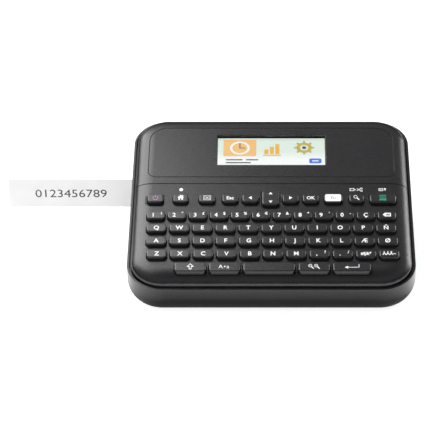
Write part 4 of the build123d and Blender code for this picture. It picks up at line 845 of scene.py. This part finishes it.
@dataclass
class Keyboard:
    """The printed legends of all the keys and of the deck between them."""

    deck: Deck
    finishes: Finishes
    nodes: dict[str, bpy.types.Object]
    main_shift: float = -1.9        # a main sign makes room for a second one, mm
    second_shift: Point = (3.9, 1.2)
    second_size: float = 2.3        # mm
    field_rims: Point = (1.9, 0.2)  # how much smaller than its cap the function key's white field is, mm
    field_corner: float = 1.2       # radius, mm
    function_size: float = 2.6      # mm
    rocker_rim: float = 3.4         # how much shorter than its cap the rocker's line is, mm
    rocker_width: float = 0.4       # mm
    sign_gap: float = 7.6           # from the back edge of a cap to the sign on the deck, mm
    tall: float = 1.22              # signs are stretched up the slope, to read well from the front
    ink_slot: str = "legend_ink"    # the record's slot for white print
    sink: float = 0.004             # how deep the print keys into the plastic, mm
    rows: dict[str, list[Legend]] = field(default_factory=lambda: {
        "keys_numbers": [Legend(a, b) for a, b in zip("1234567890", "!\"£$%€&*'-")]
        + [Legend("Ç"), Legend(icon=Icon.ERASE)],
        "keys_letters_high": plain_row("QWERTYUIOPÑ"),
        "keys_letters_middle": plain_row("ASDFGHJKLÆØ"),
        "keys_letters_low": plain_row("ZXCVBNM") + [Legend(",", "?"), Legend(".", "/"), Legend("#§&*", size=2.5),
                                                    Legend("ÀÁÃ~", size=2.5)],
        "key_home": [Legend(icon=Icon.HOME)],
        "key_layout": [Legend(icon=Icon.LAYOUT)],
        "key_escape": [Legend("Esc", size=2.8)],
        "key_left": [Legend(icon=Icon.LEFT)],
        "key_up_down": [Legend(icon=Icon.UP_DOWN)],
        "key_right": [Legend(icon=Icon.RIGHT)],
        "key_ok": [Legend("OK", size=2.7)],
        "key_preview": [Legend(icon=Icon.SEARCH)],
        "key_shift": [Legend(icon=Icon.SHIFT)],
        "key_caps": [Legend(icon=Icon.CAPS)],
        "key_zoom": [Legend(icon=Icon.ZOOM)],
        "key_enter": [Legend(icon=Icon.ENTER)],
    })
    signs: dict[str, Icon] = field(default_factory=lambda: {
        "key_home": Icon.DOT, "key_preview": Icon.LABEL_CUT, "key_print": Icon.LABEL_OUT})

    def sheet_on(self, cap: Cap, lift: float = 0.0) -> Matrix:
        """Give the drawing sheet on a key's top, raised by some millimetres."""
        return self.stretched(self.deck.sheet(cap.x, cap.u, cap.n + (lift - self.sink) * MM))

    def stretched(self, sheet: Matrix) -> Matrix:
        """Give a sheet that is stretched up the slope."""
        return sheet @ Matrix.Diagonal((1, self.tall, 1, 1))

    def print_row(self, node: str, legends: list[Legend]) -> None:
        """Print the legends of one node in white.

        Args:
            node: the node of a key or a row of keys.
            legends: one legend for each key, from left to right.
        """
        art = IconArtist()
        for cap, legend in zip(key_caps(self.deck, self.nodes[node]), legends):
            art.at(self.sheet_on(cap))
            if legend.icon:
                art.draw(legend.icon)
            if legend.second:
                art.letters(legend.main, legend.size, self.main_shift)
                art.letters(legend.second, self.second_size, *self.second_shift)
            elif legend.main:
                art.letters(legend.main, legend.size)
        art.piece("legend_" + node, node, self.finishes.get(Finishes.ink_white), self.ink_slot)

    def coloured(self, node: str, icon: Icon, finish: Finish) -> None:
        """Print one picture in a colour.

        Args:
            node: the node of the key.
            icon: the picture.
            finish: its ink.
        """
        art = IconArtist().at(self.sheet_on(key_caps(self.deck, self.nodes[node])[0]))
        art.draw(icon)
        art.piece("legend_" + node, node, self.finishes.get(finish))

    def function_key(self) -> None:
        """Print the white field of the function key and its dark letters."""
        cap = key_caps(self.deck, self.nodes["key_function"])[0]
        art = IconArtist().at(self.sheet_on(cap))
        rim_x, rim_u = self.field_rims
        art.rounded(0, 0, cap.width / MM - rim_x, (cap.depth / MM - rim_u) / self.tall, self.field_corner)
        art.piece("function_field", "key_function", self.finishes.get(Finishes.ink_white), self.ink_slot)
        text = IconArtist().at(self.sheet_on(cap, Artwork.thickness))
        text.letters("Fn", self.function_size, weight=0.0)
        text.piece("legend_key_function", "key_function", self.finishes.get(Finishes.ink_grey))

    def rocker_line(self) -> None:
        """Print the dark dividing line of the up and down key."""
        cap = key_caps(self.deck, self.nodes["key_up_down"])[0]
        art = IconArtist().at(self.sheet_on(cap))
        art.box(0, 0, cap.width / MM - self.rocker_rim, self.rocker_width)
        art.piece("rocker_line", "key_up_down", self.finishes.get(Finishes.screen_frame))

    def deck_signs(self) -> None:
        """Print the small signs on the deck above the home, search and print keys."""
        top = max(p.z for p in self.deck.points(self.nodes["top_housing"]))
        art = IconArtist()
        for node, sign in self.signs.items():
            cap = key_caps(self.deck, self.nodes[node])[0]
            u = cap.u + self.sign_gap * MM + cap.depth / 2
            art.at(self.stretched(self.deck.sheet(cap.x, u, top - self.sink * MM)))
            art.draw(sign)
        art.piece("deck_signs", "casing", self.finishes.get(Finishes.ink_white), self.ink_slot)

    def build(self) -> None:
        """Print everything."""
        for node, legends in self.rows.items():
            self.print_row(node, legends)
        self.coloured("key_power", Icon.POWER, Finishes.ink_pink)
        self.coloured("key_print", Icon.PRINT, Finishes.ink_green)
        self.function_key()
        self.rocker_line()
        self.deck_signs()


# ---------------------------------------------------------------- the screen
@dataclass
class Screen:
    """The picture under the window: a graded ground with a row of generic tiles. Its places are in millimetres."""

    deck: Deck
    finishes: Finishes
    nodes: dict[str, bpy.types.Object]
    recess: float = 0.3         # depth of the module's recess that the picture fills
    ease: float = 0.2           # how much smaller than the recess the picture is
    hidden_front: float = 3.3   # strip that the window's edge hides from someone in front
    lift: float = 0.02          # each layer above the one below
    tile: Point = (-23.0, 3.6)
    tile_size: Point = (24.0, 18.0)
    wheel: Point = (24.0, 4.0)
    spokes: int = 8
    pill: Point = (32.0, -10.6)
    pill_size: Point = (9.0, 5.4)

    def build(self) -> None:
        """Lay the layers of the picture on the module, under the lens."""
        module = self.deck.points(self.nodes["lcd_module"])
        floor = max(p.z for p in module) - self.recess * MM
        inside = [p for p in module if abs(p.z - floor) < FLAT]
        x0, x1 = min(p.x for p in inside), max(p.x for p in inside)
        u0, u1 = min(p.y for p in inside), max(p.y for p in inside)
        width, depth = (x1 - x0) / MM - self.ease, (u1 - u0) / MM - self.ease
        middle = self.deck.sheet((x0 + x1) / 2, (u0 + u1) / 2, floor + self.lift * MM)
        sheet = middle @ Matrix.Translation((0, self.hidden_front / 2, 0))
        slope = self.deck.turn @ Vector((0, (u0 + u1) / 2, floor))
        reach = (self.deck.turn @ Vector((0, (u1 - u0) / 2, 0))).y
        # A backlit panel behind a diffuser: pale light that turns faintly green towards the back.
        ground = GradedBacklit("screen_ground", WHITE, WHITE, 0.3, glow=1.0, top="#e2efe4",
                               start_y=slope.y - reach, end_y=slope.y + reach)
        self.layer(middle, 0, "screen_ground", ground, lambda art: art.box(0, 0, width, depth))
        self.layer(sheet, 1, "screen_orange_tile", self.light("screen_orange", "#fdc069"),
                   lambda art: art.rounded(*self.tile, *self.tile_size, 1.2))
        self.layer(sheet, 2, "screen_amber_bars", self.light("screen_amber", "#f5b50c"), self.amber_bars)
        self.layer(sheet, 2, "screen_olive_wheel", self.light("screen_olive", "#c4ad12"), self.olive_wheel)
        self.layer(sheet, 3, "screen_dark_marks", self.light("screen_dark", "#2b2d30"), self.dark_marks)
        self.layer(sheet, 3, "screen_white_marks", self.light("screen_white", WHITE), self.white_marks)
        self.layer(sheet, 2, "screen_blue_pill", self.light("screen_blue", "#1b62f0"),
                   lambda art: art.rounded(*self.pill, *self.pill_size, 1.4))

    @staticmethod
    def light(name: str, colour: str) -> Backlit:
        """Give the finish of one lit colour."""
        return Backlit(name, colour, colour, 0.3, glow=0.96)

    def layer(self, sheet: Matrix, level: int, name: str, finish: Finish,
              draw: Callable[[Artwork], None]) -> None:
        """Draw one layer of the picture.

        Args:
            sheet: the sheet's matrix.
            level: how many layers lie under it.
            name: the piece's name.
            finish: its finish.
            draw: function that draws it on an artwork.
        """
        art = Artwork().at(sheet @ Matrix.Translation((0, 0, level * 2 * self.lift)))
        draw(art)
        art.piece(name, "lid", self.finishes.get(finish), "screen")

    def amber_bars(self, art: Artwork) -> None:
        """Draw three rising bars on a foot.

        Args:
            art: the layer's artwork.
        """
        for x, height in ((-3.6, 5.0), (0.4, 8.0), (4.4, 11.0)):
            art.box(x, -3.0 + height / 2, 3.0, height)
        art.box(0.4, -4.4, 13.0, 1.4)

    def olive_wheel(self, art: Artwork) -> None:
        """Draw a ring with short spokes.

        Args:
            art: the layer's artwork.
        """
        x, y = self.wheel
        art.ring(x, y, 4.4, 2.6)
        for k in range(self.spokes):
            angle = 2 * math.pi * k / self.spokes
            art.stroke([(x + r * math.cos(angle), y + r * math.sin(angle)) for r in (5.4, 7.4)], 1.8)

    def dark_marks(self, art: Artwork) -> None:
        """Draw plain bars that stand for lines of text, a clock's hands and the wheel's hub.

        Args:
            art: the layer's artwork.
        """
        for x, y, width in ((-27.0, -9.4, 12.0), (-14.0, -9.4, 9.0), (-24.0, -12.6, 18.0)):
            art.box(x, y, width, 1.3)
        x, y = self.tile
        art.stroke([(x, y + 5.4), (x, y), (x + 3.8, y)], 0.9)
        art.disc(*self.wheel, 1.6)

    def white_marks(self, art: Artwork) -> None:
        """Draw a clock's ring on the tile and a bar on the pill.

        Args:
            art: the layer's artwork.
        """
        art.ring(*self.tile, 6.4, 1.7)
        art.box(*self.pill, 4.6, 1.1)


# ---------------------------------------------------------------- labels and stickers
@dataclass
class Prints:
    """What is printed on the label, and the bare stickers of the casing and the cassette."""

    finishes: Finishes
    nodes: dict[str, bpy.types.Object]
    digits: str = "0123456789"
    digit_height: float = 7.0           # mm
    digit_width: float = 1.1            # how much the digits are widened
    sink: float = 0.004                 # how deep the digits key into the tape, mm
    sticker_sink: float = 0.005         # the same for the stickers, mm
    corner: float = 2.0                 # radius of the stickers' corners, mm
    plate_size: Point = (62.0, 30.0)
    plate_thickness: float = 0.15       # mm
    plate_back: float = 32.0            # its middle behind the battery cover, mm
    cassette_size: Point = (52.0, 18.0)
    cassette_thickness: float = 0.12    # mm
    cassette_right: float = 6.0         # its middle to the right of the case's, mm
    cassette_up: float = 0.66           # its middle up the case, as a share of the case

    def label(self, tilt: float) -> None:
        """Print plain digits in the middle of the label's free length.

        Args:
            tilt: how far the tape leans back, radians.
        """
        low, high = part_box("label_strip")
        casing_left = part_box("base_shell")[0].x
        face = min((v.co for v in self.nodes["label_strip"].data.vertices), key=lambda p: p.y)
        middle = Vector(((low.x + casing_left) / 2, 0, (low.z + high.z) / 2))
        lean = Vector((0, -math.sin(tilt), math.cos(tilt)))
        out = Vector((0, -math.cos(tilt), -math.sin(tilt)))
        start = Vector((0, face.y, face.z))
        along = (middle.z - start.z) / lean.z
        place = start + lean * along + Vector((middle.x, 0, 0)) - out * self.sink * MM
        axes = Matrix((Vector((1, 0, 0)), lean, out)).transposed().to_4x4()
        art = Artwork().at(Matrix.Translation(place) @ axes @ Matrix.Scale(MM, 4))
        art.letters(self.digits, self.digit_height, weight=0.0, wide=self.digit_width)
        art.piece("label_digits", "label", self.finishes.get(Finishes.ink_black))

    def rating_plate(self) -> None:
        """Lay a bare sticker on the underside, behind the battery cover."""
        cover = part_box("battery_cover")[1]
        bottom = min(v.co.z for v in self.nodes["base_shell"].data.vertices)
        turned = Matrix.Rotation(math.pi, 4, "X")
        place = Matrix.Translation((0, cover.y + self.plate_back * MM, bottom + self.sticker_sink * MM))
        art = Artwork().at(place @ turned @ Matrix.Scale(MM, 4))
        art.thickness = self.plate_thickness
        art.rounded(0, 0, *self.plate_size, self.corner)
        art.piece("rating_plate", "casing", self.finishes.get(Finishes.plate))

    def cassette_sticker(self, bay_tilt: float) -> None:
        """Lay a bare pale sticker on the cassette's top.

        Args:
            bay_tilt: how far the bay leans back, radians.
        """
        turn = Matrix.Rotation(bay_tilt, 4, "X")
        points = [turn.inverted() @ v.co for v in self.nodes["cassette_case"].data.vertices]
        top = max(p.z for p in points)
        x0, x1 = min(p.x for p in points), max(p.x for p in points)
        v0, v1 = min(p.y for p in points), max(p.y for p in points)
        place = Matrix.Translation(((x0 + x1) / 2 + self.cassette_right * MM, v0 + self.cassette_up * (v1 - v0),
                                    top - self.sticker_sink * MM))
        art = Artwork().at(turn @ place @ Matrix.Scale(MM, 4))
        art.thickness = self.cassette_thickness
        art.rounded(0, 0, *self.cassette_size, self.corner)
        art.piece("cassette_sticker", "casing", self.finishes.get(Finishes.label), "label_paper")

    def build(self, bay_tilt: float) -> None:
        """Make every print and sticker.

        Args:
            bay_tilt: how far the bay leans back, radians.
        """
        self.label(bay_tilt)
        self.rating_plate()
        self.cassette_sticker(bay_tilt)


# ---------------------------------------------------------------- finishes of the CAD nodes
@dataclass
class CadFinishes:
    """Which finish each node of the frame wears."""

    finishes: Finishes
    nodes: dict[str, bpy.types.Object]
    sleeve_border: float = 0.72     # where a cell's sleeve changes colour, as a share of its length

    def chosen(self) -> dict[str, Finish]:
        """Give the finish of each node.

        Returns:
            Node name to finish.
        """
        f = Finishes
        table = {
            f.casing: ("base_shell", "top_housing", "lid_shell", "battery_cover", "exit_guide"),
            f.panel: ("screen_panel",),
            f.window: ("screen_lens",),
            f.screen_frame: ("lcd_module",),
            f.inner: ("cassette_bay", "lid_liner", "roller_holder"),
            f.cassette: ("cassette_case",),
            f.steel: ("hinge_pins", "print_chassis", "casing_screws", "usb_port"),
            f.blade: ("fixed_blade", "cutter_lever"),
            f.motor: ("feed_motor", "cutter_motor"),
            f.brass: ("motor_pinion", "cutter_pinion"),
            f.acetal: ("idler_gear_a", "idler_gear_b", "platen_gear", "ribbon_spindle"),
            f.roller: ("platen_roller",),
            f.silicone: ("key_mat",),
            f.foot: ("rubber_feet",),
            f.ceramic: ("thermal_head",),
            f.aluminium: ("head_heatsink",),
            f.label: ("label_strip", "tape_roll", "tape_strip"),
            f.ribbon: ("ribbon_spool",),
            f.board: ("keyboard_board", "main_board"),
            f.jack: ("dc_jack",),
            f.contact: ("battery_contacts",),
        }
        return {node: finish for finish, names in table.items() for node in names}

    def build(self) -> None:
        """Give every node its finish; the key caps are the nodes that the table leaves out."""
        table = self.chosen()
        low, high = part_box("aa_cells")
        # Printed shrink film on the cells: glossy, blue for most of its length and silver at one end.
        table["aa_cells"] = BandedSleeve("cell_shrink_sleeve", "#2d4f86", "#355a94", 0.3, second="#c9ccd0",
                                         border_y=low.y + self.sleeve_border * (high.y - low.y))
        for name, node in self.nodes.items():
            finish = table.get(name, Finishes.key)
            node.data.materials.clear()
            node.data.materials.append(self.finishes.get(finish))
            LOG.info("%s wears %s", name, finish.name)


# ---------------------------------------------------------------- studio
@dataclass(frozen=True)
class Softbox:
    """One rectangular lamp that faces the object."""

    name: str
    toward: tuple[float, float, float]  # direction from the object
    distance: float                     # metres
    size: tuple[float, float]           # width and height, metres
    power: float                        # watts
    mirrored: bool = True               # whether glossy surfaces show it

    def hang(self, middle: Vector) -> None:
        """Hang the lamp round a point.

        Args:
            middle: the point that it faces.
        """
        away = Vector(self.toward).normalized()
        data = bpy.data.lights.new(self.name, "AREA")
        data.shape, data.size, data.size_y, data.energy = "RECTANGLE", *self.size, self.power
        item = bpy.data.objects.new(self.name, data)
        item.location = middle + away * self.distance
        item.rotation_euler = away.to_track_quat("Z", "Y").to_euler()
        item.visible_glossy = self.mirrored
        bpy.context.scene.collection.objects.link(item)


@dataclass
class Studio:
    """Floor, light and camera, in metres."""

    elevation: float = 24.5         # of the camera, degrees
    distance: float = 1.7           # of the camera
    aim_height: float = 0.040       # what the camera and the lamps face
    aim_depth: float = 0.0920       # behind the front of the casing's rim
    lens: float = 200.0             # focal length, mm
    sensor: float = 36.0            # mm
    shift_x: float = -0.1384        # the label makes the picture wider to the left
    clip: tuple[float, float] = (0.05, 30.0)
    floor_reach: float = 12.0       # half the floor's side
    paper: float = 0.5              # how pale the floor is to the lamps
    glow: float = 0.8               # share of its own light in the floor's white
    painted_pool_glow: float = 2.0      # the floor's own light for glossy surfaces inside the painted pool of light, past the painted shade near the object
    painted_far_glow: float = 0.1           # the floor's own light for glossy surfaces beyond the painted pool of light
    stands_on: tuple[float, float, float] = (0.07, 0.064, 0.0)  # half size of the block that distances count from
    painted_shade_reach: tuple[float, float] = (0.033, 0.052)     # distances over which the painted shade round the object ends
    painted_pool_reach: tuple[float, float] = (0.3, 0.75)         # distances over which the painted pool of light on the floor ends
    cove_top: float = 0.42          # sine of the height where the room starts to get lighter
    horizon: float = 0.015          # level of the room near the floor
    band: tuple[float, float] = (0.58, 0.85)        # sines of the heights between which the room is lightest
    band_level: float = 0.42
    ceiling: float = 0.05           # level straight above
    lamps: tuple[Softbox, ...] = (
        Softbox("left_softbox", (-0.53, 0.41, 0.74), 0.75, (0.5, 0.64), 5.6),
        Softbox("right_softbox", (0.78, 0.50, 0.30), 1.2, (0.5, 0.6), 6.5),
        Softbox("front_fill", (-0.35, -0.85, 0.40), 2.6, (2.2, 1.4), 57.0, mirrored=False),
    )

    def camera(self) -> None:
        """Set the camera in front of the casing."""
        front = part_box("base_shell")[0].y
        target = Vector((0, front + self.aim_depth, self.aim_height))
        angle = math.radians(self.elevation)
        data = bpy.data.cameras.new("camera")
        data.lens, data.sensor_width, data.shift_x = self.lens, self.sensor, self.shift_x
        data.clip_start, data.clip_end = self.clip
        item = bpy.data.objects.new("camera", data)
        item.location = target + self.distance * Vector((0, -math.cos(angle), math.sin(angle)))
        item.rotation_euler = (math.pi / 2 - angle, 0, 0)
        bpy.context.scene.collection.objects.link(item)
        bpy.context.scene.camera = item

    def floor(self) -> None:
        """Lay a wide pale floor that stays white to the eye and keeps the object's shadow; glossy surfaces see it with
        a painted shade near the object and a painted pool of light round it.
        """
        reach = self.floor_reach
        mesh = bpy.data.meshes.new("floor")
        corners = [(-reach, -reach, 0), (reach, -reach, 0), (reach, reach, 0), (-reach, reach, 0)]
        mesh.from_pydata(corners, [], [(0, 1, 2, 3)])
        item = bpy.data.objects.new("floor", mesh)
        bpy.context.scene.collection.objects.link(item)
        # Matt paper: no highlight of its own, only the object's soft shadow. Its glow, as glossy surfaces see it,
        # carries a painted shade near the object and a painted pool of light.
        material = bpy.data.materials.new("pale_paper_floor")
        tree = fresh_tree(material)
        glow = add_node(tree, "ShaderNodeEmission", {"Color": linear(WHITE), "Strength": self.glow_with_painted_shade(tree)}).outputs[0]
        grey = (self.paper, self.paper, self.paper, 1.0)
        paper = add_node(tree, "ShaderNodeBsdfDiffuse", {"Color": grey}).outputs[0]
        mixed = add_node(tree, "ShaderNodeAddShader", {0: glow, 1: paper}).outputs[0]
        add_node(tree, "ShaderNodeOutputMaterial", {"Surface": mixed})
        mesh.materials.append(material)

    def glow_with_painted_shade(self, tree: Tree) -> Socket:
        """Give the floor's own light for rays from the eye and through glass; for glossy rays, a painted reflection
        that is dark near the object (painted shade), bright in a painted pool of light round it and dim beyond.

        Args:
            tree: the node tree.

        Returns:
            The strength's output.
        """
        full = add_node(tree, "ShaderNodeMath", {0: straight_rays(tree), 1: self.glow},
                        operation="MULTIPLY").outputs[0]
        place = add_node(tree, "ShaderNodeTexCoord").outputs["Object"]
        side = add_node(tree, "ShaderNodeVectorMath", {0: place}, operation="ABSOLUTE").outputs[0]
        past = add_node(tree, "ShaderNodeVectorMath", {0: side, 1: self.stands_on}, operation="SUBTRACT").outputs[0]
        outside = add_node(tree, "ShaderNodeVectorMath", {0: past, 1: (0.0, 0.0, 0.0)},
                           operation="MAXIMUM").outputs[0]
        away = add_node(tree, "ShaderNodeVectorMath", {0: outside}, operation="LENGTH").outputs["Value"]
        # For glossy rays only: painted shade on the floor near the object, a painted pool of light round it, and a dim
        # floor beyond.
        levels = (0.0, self.painted_pool_glow, self.painted_pool_glow, self.painted_far_glow)
        lit = add_node(tree, "ShaderNodeValToRGB", {"Fac": away}, list(zip(self.painted_shade_reach + self.painted_pool_reach, levels)))
        glossy = add_node(tree, "ShaderNodeLightPath").outputs["Is Glossy Ray"]
        gloss = add_node(tree, "ShaderNodeMath", {0: glossy, 1: lit.outputs["Color"]},
                         operation="MULTIPLY").outputs[0]
        return add_node(tree, "ShaderNodeMath", {0: full, 1: gloss}, operation="MAXIMUM").outputs[0]

    def world(self) -> None:
        """Set a white surround to the eye and a soft grey fill for the object."""
        world = bpy.data.worlds.new("studio")
        tree = fresh_tree(world)
        white = add_node(tree, "ShaderNodeBackground", {"Color": linear(WHITE), "Strength": 1.0}).outputs[0]
        toward = add_node(tree, "ShaderNodeTexCoord").outputs["Generated"]
        height = add_node(tree, "ShaderNodeSeparateXYZ", {"Vector": toward}).outputs["Z"]
        room = add_node(tree, "ShaderNodeValToRGB", {"Fac": height}, [
            (0.0, self.horizon), (self.cove_top, self.horizon), *((sine, self.band_level) for sine in self.band),
            (1.0, self.ceiling)]).outputs["Color"]
        fill = add_node(tree, "ShaderNodeBackground", {"Color": room, "Strength": 1.0}).outputs[0]
        mixed = add_node(tree, "ShaderNodeMixShader", {0: straight_rays(tree), 1: fill, 2: white}).outputs[0]
        add_node(tree, "ShaderNodeOutputWorld", {"Surface": mixed})
        bpy.context.scene.world = world

    def build(self) -> None:
        """Set everything up."""
        scene = bpy.context.scene
        scene.view_settings.view_transform = "Standard"
        self.camera()
        self.floor()
        self.world()
        middle = Vector((0, 0, self.aim_height))
        for lamp in self.lamps:
            lamp.hang(middle)


def joint_tilt(joints: list[dict], name: str) -> float:
    """Give how far a joint's upright axis leans back.

    Args:
        joints: the frame's joints.
        name: the joint's name.

    Returns:
        The angle in radians.
    """
    axis = next(j["axis"] for j in joints if j["name"] == name)
    return math.atan2(-axis[1], axis[2])


def main() -> None:
    """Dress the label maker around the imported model."""
    logging.basicConfig(level=logging.INFO, format="%(name)s: %(message)s")
    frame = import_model()
    nodes, joints = frame["nodes"], frame["joints"]
    Studio().build()
    finishes, deck = Finishes(), Deck(joints)
    CadFinishes(finishes, nodes).build()
    Keyboard(deck, finishes, nodes).build()
    Screen(deck, finishes, nodes).build()
    Prints(finishes, nodes).build(joint_tilt(joints, "first_idler_spin"))
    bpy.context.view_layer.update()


if __name__ == "__main__":
    main()
